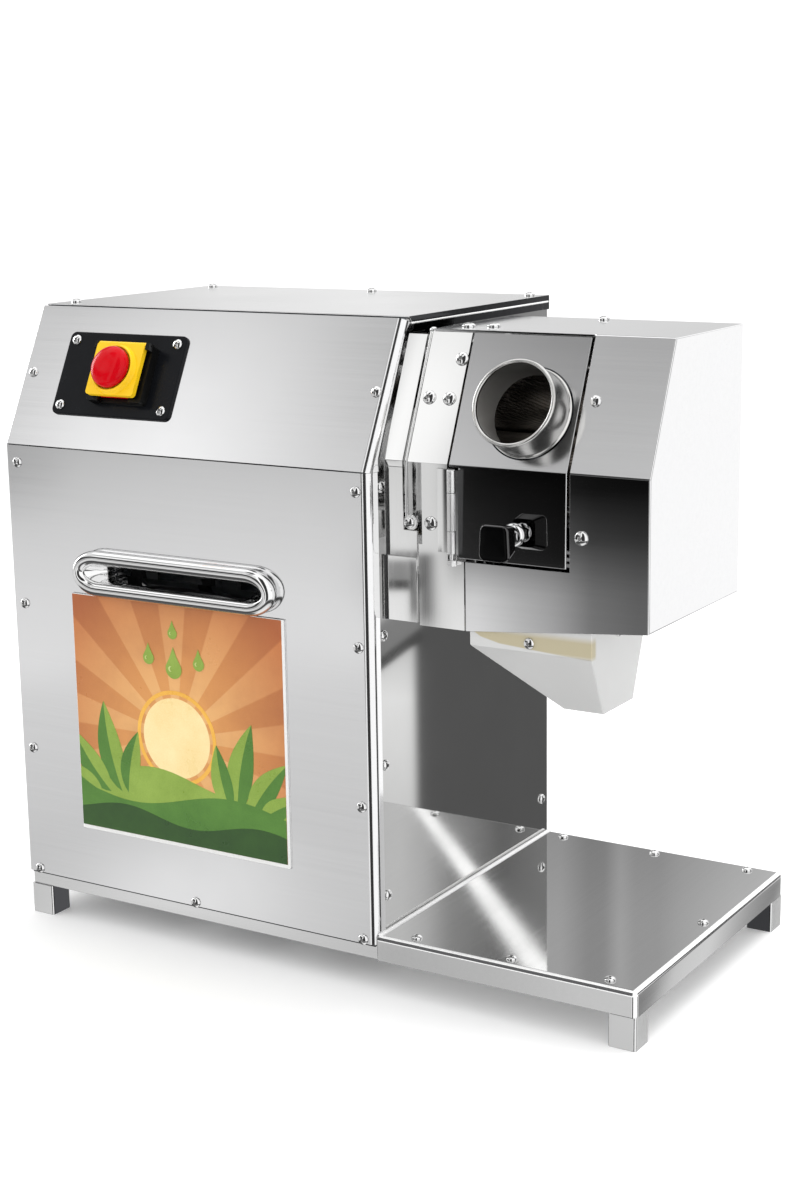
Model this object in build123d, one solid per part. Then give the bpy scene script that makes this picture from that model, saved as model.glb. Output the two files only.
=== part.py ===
from build123d import *
import math
import os

os.makedirs("parts", exist_ok=True)

# ---------------------------------------------------------------- driving dimensions (mm)
# Working frame: X = 0 at the right wall of the body, Y = 0 at its front, Z = 0 on the floor.
BODY_W, BODY_D = 420.0, 342.0  # body width and depth
Z_RAIL = 31.0  # underside of the casing, top of the legs
Z_SEAM = 43.5  # lower edge of the front panel
Z_FOLD = 488.0  # where the front leans back
Z_TOP = 619.0  # roof
Y_TOP = 66.0  # front edge of the roof
T = 2.0  # sheet
FLANGE_T = 1.5  # turned edges of the casing
DECK_L, DECK_Z = 264.0, 55.0
LEG = 27.0
FRAME_W, FRAME_T = 25.0, 3.0
# head
HEAD_Y, HEAD_YT, HEAD_YR = 17.8, 66.2, 210.0
HEAD_ZF, HEAD_ZT = 497.9, 609.8
HEAD_X0, HEAD_X1 = 31.0, 264.0
HEAD_B0, HEAD_B1 = (88.0, 351.0), (264.0, 367.0)  # slanting lower edge (x, z)
DOOR_X0, DOOR_X1, DOOR_Z0 = 73.0, 187.0, 415.8
INLET_X, INLET_S, INLET_R, INLET_RI, INLET_H = 141.0, 50.0, 38.4, 35.2, 32.0
INLET_IN = 5.0  # how far the pipe stands in behind the door
# rollers
ROLL_R, SHAFT_R, ROLL_D = 31.0, 14.0, 64.0
ROLL_X0, ROLL_X1 = 74.5, 187.5
TOP_YZ = (109.9, 547.1)
FRONT_YZ = (84.5, 488.36)
REAR_ANGLE = -38.0
REAR_YZ = (
    TOP_YZ[0] + ROLL_D * math.cos(math.radians(REAR_ANGLE)),
    TOP_YZ[1] + ROLL_D * math.sin(math.radians(REAR_ANGLE)),
)
PLATE_L, PLATE_R, PLATE_M = (60.0, 72.0), (190.0, 202.0), (32.0, 44.0)
GEAR_X = (208.0, 228.0)
BUSH_R, BUSH_GAP = 19.0, 0.05
# drive
MOTOR_YZ, MOTOR_R = (175.0, 124.0), 60.0
IN_YZ = (110.0, 475.0)
PULLEY_X = (-335.0, -311.0)
# switch (along the control panel: x, distance up the slope, height off it)
SW_X, SW_S = -292.0, 75.0
# hand hole and board
HOLE_X, HOLE_Z = -217.0, 369.0
RIM_L, RIM_H, RIM_R = 238.0, 44.0, 7.0
BOARD = (-345.0, -92.5, 104.0, 345.5)  # x0, x1, z0, z1
BOARD_T = 2.0
# shift of the working frame so that the origin is under the middle of the box
SHIFT = (79.45, -169.25, 0.0)

nodes = {}


def bx(x0, x1, y0, y1, z0, z1):
    return Pos((x0 + x1) / 2, (y0 + y1) / 2, (z0 + z1) / 2) * Box(
        x1 - x0, y1 - y0, z1 - z0
    )


MIN = (Align.CENTER, Align.CENTER, Align.MIN)


def rod(p, d, r, length):
    return Plane(origin=p, z_dir=d) * Cylinder(r, length, align=MIN)


def rod_x(yz, r, x0, x1):
    return rod((x0, yz[0], yz[1]), (1, 0, 0), r, x1 - x0)


def tube_x(yz, ro, ri, x0, x1):
    return rod_x(yz, ro, x0, x1) - rod_x(yz, ri, x0 - 1, x1 + 1)


def prism(pts, vec):
    face = make_face(Polyline(*[tuple(p) for p in pts], close=True))
    n = math.sqrt(sum(v * v for v in vec))
    return extrude(face, amount=n, dir=vec)


def prism_x(yz, x0, x1):
    return prism([(x0, y, z) for y, z in yz], (x1 - x0, 0, 0))


def prism_y(xz, y0, y1):
    return prism([(x, y0, z) for x, z in xz], (0, y1 - y0, 0))


def inset(pts, d):
    """Convex polygon, counter-clockwise, moved inwards by d."""
    out = []
    n = len(pts)
    lines = []
    for i in range(n):
        (x0, y0), (x1, y1) = pts[i], pts[(i + 1) % n]
        dx, dy = x1 - x0, y1 - y0
        le = math.hypot(dx, dy)
        nx, ny = -dy / le, dx / le
        lines.append((x0 + nx * d, y0 + ny * d, dx / le, dy / le))
    for i in range(n):
        ax, ay, adx, ady = lines[i - 1]
        bx_, by_, bdx, bdy = lines[i]
        det = adx * -bdy + ady * bdx
        t = ((bx_ - ax) * -bdy + (by_ - ay) * bdx) / det
        out.append((ax + adx * t, ay + ady * t))
    return out


def group(items):
    solids = []
    for it in items:
        solids += list(it.solids())
    return Compound(children=solids)


def one(shape):
    """A single solid, as a solid."""
    s = shape.solids()
    if len(s) != 1:
        raise ValueError("expected one solid, got %d" % len(s))
    return s[0]


def fil(shape, r, pick):
    return fillet([e for e in shape.edges() if pick(e)], r)


# ---------------------------------------------------------------- local planes
sl = math.hypot(Y_TOP, Z_TOP - Z_FOLD)
ST = (0, Y_TOP / sl, (Z_TOP - Z_FOLD) / sl)  # up the control panel
SN = (0, -ST[2], ST[1])  # out of it
S = Plane(origin=(0, 0, Z_FOLD), x_dir=(1, 0, 0), z_dir=SN)
hl = math.hypot(HEAD_YT - HEAD_Y, HEAD_ZT - HEAD_ZF)
HT = (0, (HEAD_YT - HEAD_Y) / hl, (HEAD_ZT - HEAD_ZF) / hl)
HN = (0, -HT[2], HT[1])
H = Plane(origin=(0, HEAD_Y, HEAD_ZF), x_dir=(1, 0, 0), z_dir=HN)


def on_s(x, s, h=0.0):
    return (x, s * ST[1] + h * SN[1], Z_FOLD + s * ST[2] + h * SN[2])


def on_h(x, s, h=0.0):
    return (x, HEAD_Y + s * HT[1] + h * HN[1], HEAD_ZF + s * HT[2] + h * HN[2])


# ---------------------------------------------------------------- fasteners
def button(r=5.2, h=2.9, shank=2.9, depth=5.0):
    head = fil(
        Cylinder(r, h, align=MIN),
        h * 0.82,
        lambda e: e.geom_type == GeomType.CIRCLE and e.center().Z > h - 0.01,
    )
    socket = extrude(RegularPolygon(r * 0.36, 6), amount=1.4)
    head = head - Pos(0, 0, h - 1.3) * socket
    return head + Pos(0, 0, -depth) * Cylinder(shank, depth, align=MIN)


BUTTON = button()
HEXB = extrude(RegularPolygon(7.0, 6), amount=5.0) + Pos(0, 0, -18.0) * Cylinder(
    3.9, 18.0, align=MIN
)


def put(template, spots):
    return group([Plane(origin=p, z_dir=d) * template for p, d in spots])


def drills(spots, r=3.0, depth=8.0):
    return [
        rod(
            (p[0] + d[0] * 1.0, p[1] + d[1] * 1.0, p[2] + d[2] * 1.0),
            (-d[0], -d[1], -d[2]),
            r,
            depth + 1.0,
        )
        for p, d in spots
    ]


FRONT, RIGHT, LEFT, BACK, UP = (0, -1, 0), (1, 0, 0), (-1, 0, 0), (0, 1, 0), (0, 0, 1)
front_spots = [
    ((x, 0, z), FRONT) for z in (470.0, 328.0, 178.0) for x in (-407.5, -12.5)
] + [((x, 0, 49.0), FRONT) for x in (-407.5, -208.0, -14.0)]
panel_spots = [(on_s(x, 75.0), SN) for x in (-410.0, -10.0)]
roof_spots = [
    ((x, y, Z_TOP), UP)
    for x, y in ((-407.0, 100.0), (-407.0, 329.0), (-200.0, 329.0), (-13.0, 329.0))
]
wall_spots = [((0, 22.0, z), RIGHT) for z in (472.0, 336.0, 214.0, 88.0)] + [
    ((0, 55.0, 543.7), RIGHT),
    ((0, 329.0, 93.0), RIGHT),
    ((0, 329.0, 330.0), RIGHT),
    ((0, 329.0, 560.0), RIGHT),
]
left_spots = [((-BODY_W, p[1], p[2]), LEFT) for p, _ in wall_spots]
rear_spots = [
    ((x, BODY_D, z), BACK) for z in (590.0, 320.0, 70.0) for x in (-405.0, -15.0)
]
deck_spots = [
    ((x, y, DECK_Z), UP)
    for x, y in (
        (35.6, 14.5),
        (135.0, 14.0),
        (232.0, 15.0),
        (249.5, 177.7),
        (26.0, 329.0),
        (130.6, 329.0),
        (231.6, 329.0),
    )
]

# ---------------------------------------------------------------- base frame, legs, deck
FX0, FX1, FY0, FY1, FZ1 = -BODY_W + T, DECK_L - T, T, BODY_D - T, DECK_Z - T
ring = bx(FX0, FX1, FY0, FY1, Z_RAIL, FZ1)
ring -= bx(
    FX0 + FRAME_T,
    FX1 - FRAME_T,
    FY0 + FRAME_T,
    FY1 - FRAME_T,
    Z_RAIL + FRAME_T,
    FZ1 - FRAME_T,
)
ring -= bx(
    FX0 + FRAME_W,
    FX1 - FRAME_W,
    FY0 + FRAME_W,
    FY1 - FRAME_W,
    Z_RAIL - 1,
    FZ1 + 1,
)
yi0, yi1 = FY0 + FRAME_W, FY1 - FRAME_W
base = ring + bx(-27, -2, yi0, yi1, FZ1 - FRAME_T, FZ1)
base += bx(-5, -2, yi0, yi1, Z_RAIL, FZ1)
for x0 in (-240.0, -125.0):
    base += bx(x0, x0 + 25, yi0, yi1, FZ1 - FRAME_T, FZ1)
    base += bx(x0, x0 + 3, yi0, yi1, Z_RAIL, FZ1)
leg_at = [
    (x, y)
    for x in (-BODY_W, DECK_L - LEG)
    for y in (0.0, BODY_D - LEG)
]
for x, y in leg_at:
    base += bx(x, x + LEG, y, y + LEG, 0, Z_RAIL) - bx(
        x + 3, x + LEG - 3, y + 3, y + LEG - 3, -1, Z_RAIL - 2
    )
motor_bolt_at = [(x, y) for x in (-227.0, -112.0) for y in (118.0, 232.0)]
base -= [rod((x, y, 40), UP, 4.1, 30) for x, y in motor_bolt_at]
base -= drills(front_spots[-3:]) + drills(deck_spots)
nodes["base_frame"] = one(base)
nodes["leg_plugs"] = group(
    [bx(x + 3, x + LEG - 3, y + 3, y + LEG - 3, 0, 12) for x, y in leg_at]
)
DX0 = FLANGE_T + 0.2
deck = bx(DX0, DECK_L, 0, BODY_D, Z_RAIL, DECK_Z) - bx(
    DX0 - 1, DECK_L - T, T, BODY_D - T, Z_RAIL - 1, DECK_Z - T
)
deck -= drills(deck_spots)
nodes["base_deck"] = one(deck)

# ---------------------------------------------------------------- inner body frame
zi = Z_FOLD - T * ST[1]
yo = T * ST[2]


def slope_y(z):
    """Inner face of the control panel at height z."""
    return yo + (z - zi) * ST[1] / ST[2]


def slope_z(y):
    return zi + (y - yo) * ST[2] / ST[1]


Z_IN = Z_TOP - T
side_poly = [
    (T, FZ1),
    (BODY_D - T, FZ1),
    (BODY_D - T, Z_IN),
    (slope_y(Z_IN), Z_IN),
    (T, slope_z(T)),
]
XL, XR = -BODY_W + T, -T
frame = None
for x_face, sgn in ((XL, 1), (XR, -1)):
    a = prism_x(side_poly, x_face, x_face + sgn * FRAME_T) - prism_x(
        inset(side_poly, FRAME_W), x_face - sgn, x_face + sgn * (FRAME_T + 1)
    )
    b = prism_x(side_poly, x_face, x_face + sgn * FRAME_W) - prism_x(
        inset(side_poly, FRAME_T), x_face - sgn, x_face + sgn * (FRAME_W + 1)
    )
    side = a + b
    side += (
        bx(x_face, x_face + FRAME_T, 196, 221, FZ1, Z_IN)
        if sgn > 0
        else bx(x_face - FRAME_T, x_face, 196, 221, FZ1, Z_IN)
    )
    frame = side if frame is None else frame + side
BEAM = (412.0, 434.0)
frame += bx(XL, XR, 24, 37, *BEAM)
frame += bx(XL, XR, 200, 215, *BEAM)
frame += bx(XL, XR, BODY_D - T - FRAME_W, BODY_D - T, Z_IN - FRAME_T, Z_IN)
frame += bx(XL, XR, 72, 97, Z_IN - FRAME_T, Z_IN)
frame -= (
    drills(front_spots)
    + drills(panel_spots)
    + drills(roof_spots)
    + drills(wall_spots)
    + drills(left_spots)
    + drills(rear_spots)
)
frame += bx(-215, -60, 24, 215, BEAM[1], 440)
stiff = bx(-8, -2, 32, 197, 445, 593)
stiff -= prism_x(
    [
        (20, 440),
        (slope_y(470) + 28.5, 440),
        (slope_y(470) + 28.5, 470),
        (slope_y(600) + 28.5, 600),
        (20, 600),
    ],
    -9,
    -1,
)
stiff -= rod_x(TOP_YZ, 30, -9, -1)
frame += stiff
tie_yz = [(45.0, 455.0), (190.0, 455.0), (190.0, 580.0), (88.0, 582.0)]
frame -= [rod_x(p, 6.1, -12, 0) for p in tie_yz]
shelf_bolt_at = [(x, y) for x in (-192.0, -88.0) for y in (30.5, 207.5)]
frame -= [rod((x, y, 400), UP, 4.1, 50) for x, y in shelf_bolt_at]
nodes["body_frame"] = one(frame)

# ---------------------------------------------------------------- casing
slot_l, slot_h = RIM_L - 4 * RIM_R, RIM_H - 4 * RIM_R  # clear hole, 210 x 16


def slot_y(length, height, y0, y1):
    """Oval bar along Y, centred on the hand hole."""
    r = height / 2
    c = length / 2 - r
    body = bx(HOLE_X - c, HOLE_X + c, y0, y1, HOLE_Z - r, HOLE_Z + r)
    for s in (-1, 1):
        body += rod((HOLE_X + s * c, y0, HOLE_Z), BACK, r, y1 - y0)
    return body


front = bx(-BODY_W, 0, 0, T, Z_SEAM, Z_FOLD - 1.2)
front += bx(0, FLANGE_T, 0, 14, DECK_Z + 0.2, Z_FOLD - 1.2)
front += bx(-BODY_W - FLANGE_T, -BODY_W, 0, 14, Z_SEAM, Z_FOLD - 1.2)
front -= slot_y(slot_l + 4, slot_h + 4, -1, 5)
front -= drills(front_spots)
nodes["front_panel"] = one(front)


def on_slope(x0, x1, s0, s1, h0, h1):
    return S * Pos((x0 + x1) / 2, (s0 + s1) / 2, (h0 + h1) / 2) * Box(
        x1 - x0, s1 - s0, h1 - h0
    )


ctrl = on_slope(-BODY_W, 0, 0, sl, -T, 0)
ctrl += on_slope(0, FLANGE_T, 0.4, sl, -16, 0)
ctrl += on_slope(-BODY_W - FLANGE_T, -BODY_W, 0.4, sl, -16, 0)
ctrl -= bx(-BODY_W - 5, 5, -20, 40, Z_FOLD - 40, Z_FOLD - 1.0)
ctrl -= on_slope(SW_X - 23, SW_X + 23, SW_S - 20, SW_S + 20, -10, 10)
ctrl -= drills(panel_spots)
sw_plate_c = (-301.0, 76.0)
sw_plate_w, sw_plate_h, sw_t = 143.0, 85.0, 3.0
plate_spots = [
    (on_s(sw_plate_c[0] + a * 61.5, sw_plate_c[1] + b * 33.5, sw_t), SN)
    for a in (-1, 1)
    for b in (-1, 1)
]
ctrl -= drills(plate_spots, depth=8)
nodes["control_panel"] = one(ctrl)

RY0 = Y_TOP + 2.6
roof = bx(-BODY_W - FLANGE_T, FLANGE_T, RY0, BODY_D + FLANGE_T, Z_TOP - 14, Z_TOP)
roof -= bx(-BODY_W, 0, RY0 - 1, BODY_D, Z_TOP - 20, Z_TOP - T)
roof -= on_slope(-BODY_W - 5, 5, sl - 40, sl + 2.0, -18.0, 10)
roof -= drills(roof_spots)
nodes["top_cover"] = one(roof)

panel_poly = [
    (T, 45.0),
    (BODY_D, 45.0),
    (BODY_D, Z_IN),
    (slope_y(Z_IN), Z_IN),
    (T, slope_z(T)),
]
right = prism_x([(y, max(z, FZ1)) for y, z in panel_poly], -T, 0)
right -= drills(wall_spots)
right -= [rod_x(p, 6.2, -5, 5) for p in tie_yz]
right -= rod_x(TOP_YZ, 30, -5, 5)
nodes["right_side_panel"] = one(right)
left = prism_x(panel_poly, -BODY_W, -BODY_W + T)
left -= drills(left_spots)
left -= [
    bx(-BODY_W - 5, -BODY_W + 5, y0, y0 + 70, z, z + 5)
    for y0 in (75.0, 235.0)
    for z in [120.0 + 16 * i for i in range(9)]
]
nodes["left_side_panel"] = one(left)
gland_x, gland_z = -60.0, 120.0
rear = bx(-BODY_W + T, -T, BODY_D - T, BODY_D, 45.0, Z_IN)
rear -= drills(rear_spots)
rear -= [
    bx(x0, x0 + 80, BODY_D - 5, BODY_D + 5, z, z + 5)
    for x0 in (-350.0, -250.0)
    for z in [400.0 + 16 * i for i in range(8)]
]
rear -= rod((gland_x, BODY_D - 5, gland_z), BACK, 9.0, 10)
nodes["rear_panel"] = one(rear)
gland = rod((gland_x, BODY_D - 8, gland_z), BACK, 9.0, 14)
gland += Plane(origin=(gland_x, BODY_D, gland_z), z_dir=BACK) * extrude(
    RegularPolygon(13, 6), amount=6
)
gland += rod((gland_x, BODY_D + 6, gland_z), BACK, 11.0, 10)
gland += Plane(origin=(gland_x, BODY_D - 7, gland_z), z_dir=BACK) * extrude(
    RegularPolygon(13, 6), amount=5
)
gland -= rod((gland_x, BODY_D - 20, gland_z), BACK, 4.5, 50)
nodes["cable_gland"] = one(gland)

# ---------------------------------------------------------------- hand hole, board
c_half = (RIM_L - RIM_H) / 2
r_mid = RIM_H / 2 - RIM_R
rim_y = -RIM_R
rim = None
for s in (-1, 1):
    bar = rod(
        (HOLE_X - c_half, rim_y, HOLE_Z + s * r_mid), RIGHT, RIM_R, 2 * c_half
    )
    rim = bar if rim is None else rim + bar
for s in (-1, 1):
    prof = Plane(
        origin=(HOLE_X + s * c_half, rim_y, HOLE_Z + r_mid), z_dir=(1, 0, 0)
    ) * Circle(RIM_R)
    rim += revolve(
        prof,
        axis=Axis((HOLE_X + s * c_half, rim_y, HOLE_Z), (0, s, 0)),
        revolution_arc=180,
    )
liner = slot_y(slot_l + 3.8, slot_h + 3.8, -6, 30) - slot_y(slot_l, slot_h, -8, 40)
nodes["hand_hole_rim"] = one(rim + liner)
bx0, bx1, bz0, bz1 = BOARD
nodes["front_board"] = bx(bx0, bx1, -BOARD_T, 0, bz0, bz1)

# ---------------------------------------------------------------- switch
plate = on_slope(
    sw_plate_c[0] - sw_plate_w / 2,
    sw_plate_c[0] + sw_plate_w / 2,
    sw_plate_c[1] - sw_plate_h / 2,
    sw_plate_c[1] + sw_plate_h / 2,
    0,
    sw_t,
)
plate -= on_slope(SW_X - 22.5, SW_X + 22.5, SW_S - 19.5, SW_S + 19.5, -5, 10)
plate -= drills(plate_spots, depth=8)
nodes["switch_plate"] = one(plate)
PIN_S, PIN_H = SW_S + 26.5, 16.5
sbase = on_slope(SW_X - 33, SW_X + 33, SW_S - 29, SW_S + 29, 3, 13)
sbase += on_slope(SW_X - 22, SW_X + 22, SW_S - 19, SW_S + 19, -30, 3)
for s in (-1, 1):
    xa, xb = sorted((SW_X + s * 28.9, SW_X + s * 33.0))
    sbase += on_slope(xa, xb, PIN_S - 4.5, SW_S + 29, 13, PIN_H + 3.6)
start_x, stop_x = (SW_X - 30, SW_X - 20), (SW_X - 18, SW_X + 18)
start_s, stop_s = (SW_S - 13, SW_S + 13), (SW_S - 24.5, SW_S + 13)
for (xa, xb), (sa, sb) in ((start_x, start_s), (stop_x, stop_s)):
    sbase -= on_slope(xa - 0.3, xb + 0.3, sa - 0.3, sb + 0.3, 5.5, 14)
sbase -= on_slope(stop_x[0] - 0.3, stop_x[1] + 0.3, SW_S - 30, SW_S - 24.5, 8, 14)
pin_p = on_s(SW_X - 33, PIN_S, PIN_H)
sbase += rod(pin_p, RIGHT, 1.5, 66)
nodes["switch_base"] = one(sbase)
flap = on_slope(SW_X - 28.5, SW_X + 28.5, SW_S - 25.5, PIN_S, 16, 21)
flap = fil(
    flap,
    6.0,
    lambda e: abs(e.tangent_at(0.5).X) < 0.1
    and abs(e.tangent_at(0.5).dot(Vector(*SN))) > 0.9
    and (e.center() - Vector(*on_s(SW_X, SW_S - 25.5, 18.5))).dot(Vector(*ST)) < 1,
)
flap += rod(on_s(SW_X - 28.5, PIN_S, PIN_H), RIGHT, 3.2, 57)
flap += S * Pos(SW_X, SW_S, 20.5) * (
    Cylinder(23.0, 6.0, align=MIN) - Cylinder(21.2, 7.0, align=MIN)
)
flap -= S * Pos(SW_X, SW_S, 10) * Cylinder(7.3, 20, align=MIN)
flap -= rod(on_s(SW_X - 40, PIN_S, PIN_H), RIGHT, 1.55, 90)
nodes["switch_flap"] = one(flap)
cap = fil(
    Pos(0, 0, 25.6) * Cylinder(20.5, 12.5, align=MIN),
    7.0,
    lambda e: e.geom_type == GeomType.CIRCLE and e.center().Z > 38,
)
mush = S * Pos(SW_X, SW_S, 0) * (cap + Pos(0, 0, 17.5) * Cylinder(7.0, 9, align=MIN))
nodes["estop_button"] = one(mush)
nodes["start_button"] = one(on_slope(*start_x, *start_s, 9, 14))
nodes["stop_button"] = one(on_slope(*stop_x, *stop_s, 9, 14))

# ---------------------------------------------------------------- head structure
plate_poly = [(30.0, 442.0), (203.0, 442.0), (203.0, 594.0), (70.5, 594.0), (30.0, 499.0)]
roll_yz = (TOP_YZ, FRONT_YZ, REAR_YZ)


def roller_plate(x):
    p = prism_x(plate_poly, *x)
    p -= [rod_x(c, BUSH_R, x[0] - 1, x[1] + 1) for c in roll_yz]
    p -= [rod_x(c, 6.1, x[0] - 1, x[1] + 1) for c in tie_yz]
    return one(p)


nodes["roller_plate_left"] = roller_plate(PLATE_L)
nodes["roller_plate_right"] = roller_plate(PLATE_R)
mount = prism_x(plate_poly, *PLATE_M)
mount -= rod_x(TOP_YZ, 22, PLATE_M[0] - 1, PLATE_M[1] + 1)
mount -= [rod_x(c, 6.1, PLATE_M[0] - 1, PLATE_M[1] + 1) for c in tie_yz]
nodes["head_mount_plate"] = one(mount)
TIE_X = (-18.0, 207.5)
ties, sleeves = [], []
for c in tie_yz:
    t = rod_x(c, 6.0, *TIE_X)
    for x0, x1 in ((-16.0, -8.0), (202.0, 207.0)):
        t += Plane(origin=(x0, c[0], c[1]), z_dir=RIGHT) * extrude(
            RegularPolygon(10.4, 6), amount=x1 - x0
        )
    ties.append(t)
    for x0, x1 in ((0.0, 32.0), (44.0, 60.0), (72.0, 190.0)):
        sleeves.append(tube_x(c, 8.5, 6.05, x0, x1))
nodes["tie_bolts"] = group(ties)
nodes["tie_sleeves"] = group(sleeves)
nodes["roller_bushes"] = group(
    [
        tube_x(c, BUSH_R, SHAFT_R + BUSH_GAP, *x)
        for c in roll_yz
        for x in (PLATE_L, PLATE_R)
    ]
)


# ---------------------------------------------------------------- rollers and pinions
def roller(c, x0):
    r = rod_x(c, ROLL_R, ROLL_X0, ROLL_X1)
    r += rod_x(c, SHAFT_R, x0, 238.0)
    return one(r)


nodes["top_roller"] = roller(TOP_YZ, -50.0)
nodes["front_roller"] = roller(FRONT_YZ, 56.0)
nodes["rear_roller"] = roller(REAR_YZ, 56.0)

TEETH, MOD = 16, 4.0
RP = TEETH * MOD / 2
RB = RP * math.cos(math.radians(20))
RA, RF = RP + 3.3, RP - 4.7
THICK = math.pi * MOD / 2 - 0.55


def inv(a):
    return math.tan(a) - a


def half_angle(r):
    base = THICK / (2 * RP) + inv(math.radians(20))
    if r <= RB:
        return base
    return base - inv(math.acos(RB / r))


def pinion(c, phase):
    pts = []
    radii = [RF, RB - 0.6, RB + 0.3, RB + 1.3, RP, RP + 1.2, RP + 2.3, RA]
    for k in range(TEETH):
        mid = phase + k * 2 * math.pi / TEETH
        flank = [(r, half_angle(r) * (0.93 if r < RB - 0.5 else 1.0)) for r in radii]
        for r, h in flank:
            pts.append((c[0] + r * math.cos(mid - h), c[1] + r * math.sin(mid - h)))
        for r, h in reversed(flank):
            pts.append((c[0] + r * math.cos(mid + h), c[1] + r * math.sin(mid + h)))
    g = prism_x(pts, *GEAR_X)
    g += rod_x(c, 21.0, GEAR_X[0] - 4.0, GEAR_X[0])
    g -= rod_x(c, SHAFT_R, GEAR_X[0] - 10, GEAR_X[1] + 10)
    return one(g)


pitch = 2 * math.pi / TEETH


def mate_phase(c, phase):
    """Phase of a wheel at c that meshes with the top one."""
    th = math.atan2(c[1] - TOP_YZ[1], c[0] - TOP_YZ[0])
    d = (phase - th) % pitch
    return th + math.pi - d + pitch / 2


ph = math.atan2(FRONT_YZ[1] - TOP_YZ[1], FRONT_YZ[0] - TOP_YZ[0])
nodes["top_pinion"] = pinion(TOP_YZ, ph)
nodes["front_pinion"] = pinion(FRONT_YZ, mate_phase(FRONT_YZ, ph))
nodes["rear_pinion"] = pinion(REAR_YZ, mate_phase(REAR_YZ, ph))

# ---------------------------------------------------------------- juice and bagasse way
nodes["turner_plate"] = one(
    prism_x(
        [(118.5, 466.0), (126.0, 466.0), (127.5, 508.5), (117.5, 506.0)],
        PLATE_L[1],
        PLATE_R[0],
    )
)
nodes["scraper_blades"] = group(
    [
        prism_x(
            [(82.0, 440.0), (86.5, 440.0), (86.5, 450.0), (84.4, 456.3), (82.0, 450.0)],
            PLATE_L[1],
            PLATE_R[0],
        ),
        prism_x(
            [(158.0, 444.0), (162.5, 444.0), (162.5, 470.0), (160.4, 475.6), (158.0, 470.0)],
            PLATE_L[1],
            PLATE_R[0],
        ),
    ]
)
tray = bx(74.0, 188.0, 28.0, 205.0, 400.0, 437.0)
tray -= bx(76.0, 186.0, 30.0, 203.0, 402.0, 438.0)
tray -= bx(112.0, 184.0, 34.0, 110.0, 399.0, 403.0)
nodes["juice_tray"] = one(tray)

CH_TOP, CH_BEND, CH_LIP = 372.0, 338.5, 285.0
CH_A, CH_B = (91.0, 210.0, 20.2, 124.0), (171.0, 210.0, 44.0, 104.0)


def rect_face(r, z, d=0.0):
    x0, x1, y0, y1 = r
    return make_face(
        Polyline(
            (x0 + d, y0 + d, z),
            (x1 - d, y0 + d, z),
            (x1 - d, y1 - d, z),
            (x0 + d, y1 - d, z),
            close=True,
        )
    )


out_low = loft([rect_face(CH_A, CH_BEND), rect_face(CH_B, CH_LIP)])
in_low = loft([rect_face(CH_A, CH_BEND, 2.0), rect_face(CH_B, CH_LIP, 2.0)])
out_up = extrude(rect_face(CH_A, CH_BEND), amount=CH_TOP - CH_BEND, dir=UP)
in_up = extrude(rect_face(CH_A, CH_BEND, 2.0), amount=CH_TOP - CH_BEND + 5, dir=UP)
in_end = extrude(rect_face(CH_B, CH_LIP, 2.0), amount=5, dir=(0, 0, -1))
chute = (out_low + out_up) - in_low - in_up - in_end
chute_spots = [((150.0, 20.2, 346.5), FRONT), ((210.0, 72.0, 354.0), RIGHT)]
chute -= drills(chute_spots, r=3.0, depth=6)
nodes["juice_chute"] = one(chute)

WIN = (80.0, 182.0, 450.0, 530.0)
slide_pts = [(197.0, 470.0), (330.0, 402.0), (330.0, 400.0), (197.0, 468.0)]
slide = prism_x(slide_pts, 83.0, 179.0)
wall_pts = [(197.0, 468.0), (330.0, 400.0), (330.0, 424.0), (197.0, 492.0)]
slide += prism_x(wall_pts, 81.0, 83.0) + prism_x(wall_pts, 179.0, 181.0)
nodes["bagasse_slide"] = one(slide)


# ---------------------------------------------------------------- head covers
def bottom_z(x):
    (xa, za), (xb, zb) = HEAD_B0, HEAD_B1
    return za + (x - xa) * (zb - za) / (xb - xa)


cut_low = prism_y(
    [
        (60.0, 300.0),
        (300.0, 300.0),
        (300.0, bottom_z(300.0)),
        (60.0, bottom_z(60.0)),
    ],
    -50,
    400,
)
d_in = T
vin = HEAD_ZF - d_in * HT[1] + (d_in - d_in * HT[2]) * HT[2] / HT[1]
top_in_y = HEAD_YT + d_in * (1 - HT[1]) / HT[2] * 1.0
profile = [
    (HEAD_Y, 340.0),
    (HEAD_Y, HEAD_ZF),
    (HEAD_YT, HEAD_ZT),
    (HEAD_YR, HEAD_ZT),
    (HEAD_YR, HEAD_ZT - T),
    (top_in_y, HEAD_ZT - T),
    (HEAD_Y + T, vin),
    (HEAD_Y + T, 340.0),
]
CX0 = DOOR_X1 + 3.0
cover = prism_x(profile, CX0, HEAD_X1)
cover += prism_x(
    [
        (HEAD_Y, 340.0),
        (HEAD_YR, 340.0),
        (HEAD_YR, HEAD_ZT),
        (HEAD_YT, HEAD_ZT),
        (HEAD_Y, HEAD_ZF),
    ],
    HEAD_X1 - T,
    HEAD_X1,
)
cover += bx(88.5, CX0, HEAD_Y, HEAD_Y + T, 340.0, 413.0)
cover += bx(HEAD_X0, CX0, HEAD_YT, HEAD_YR, HEAD_ZT - T, HEAD_ZT)
cover -= cut_low
cover_spots = [(on_h(201.4, 63.9), HN), ((132.4, 200.0, HEAD_ZT), UP)]
cover_bolts = [
    ((201.0, HEAD_Y, 443.8), FRONT),
    ((50.8, 93.8, HEAD_ZT), UP),
    ((71.7, 102.0, HEAD_ZT), UP),
]
cover -= drills(cover_spots, depth=5)
cover -= drills(cover_bolts, r=4.0, depth=7)
nodes["head_cover"] = one(cover)
rcover = bx(HEAD_X0, HEAD_X1 - T, HEAD_YR - T, HEAD_YR, 340.0, HEAD_ZT - T)
rcover -= bx(WIN[0], WIN[1], HEAD_YR - 5, HEAD_YR + 5, WIN[2], WIN[3])
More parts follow.
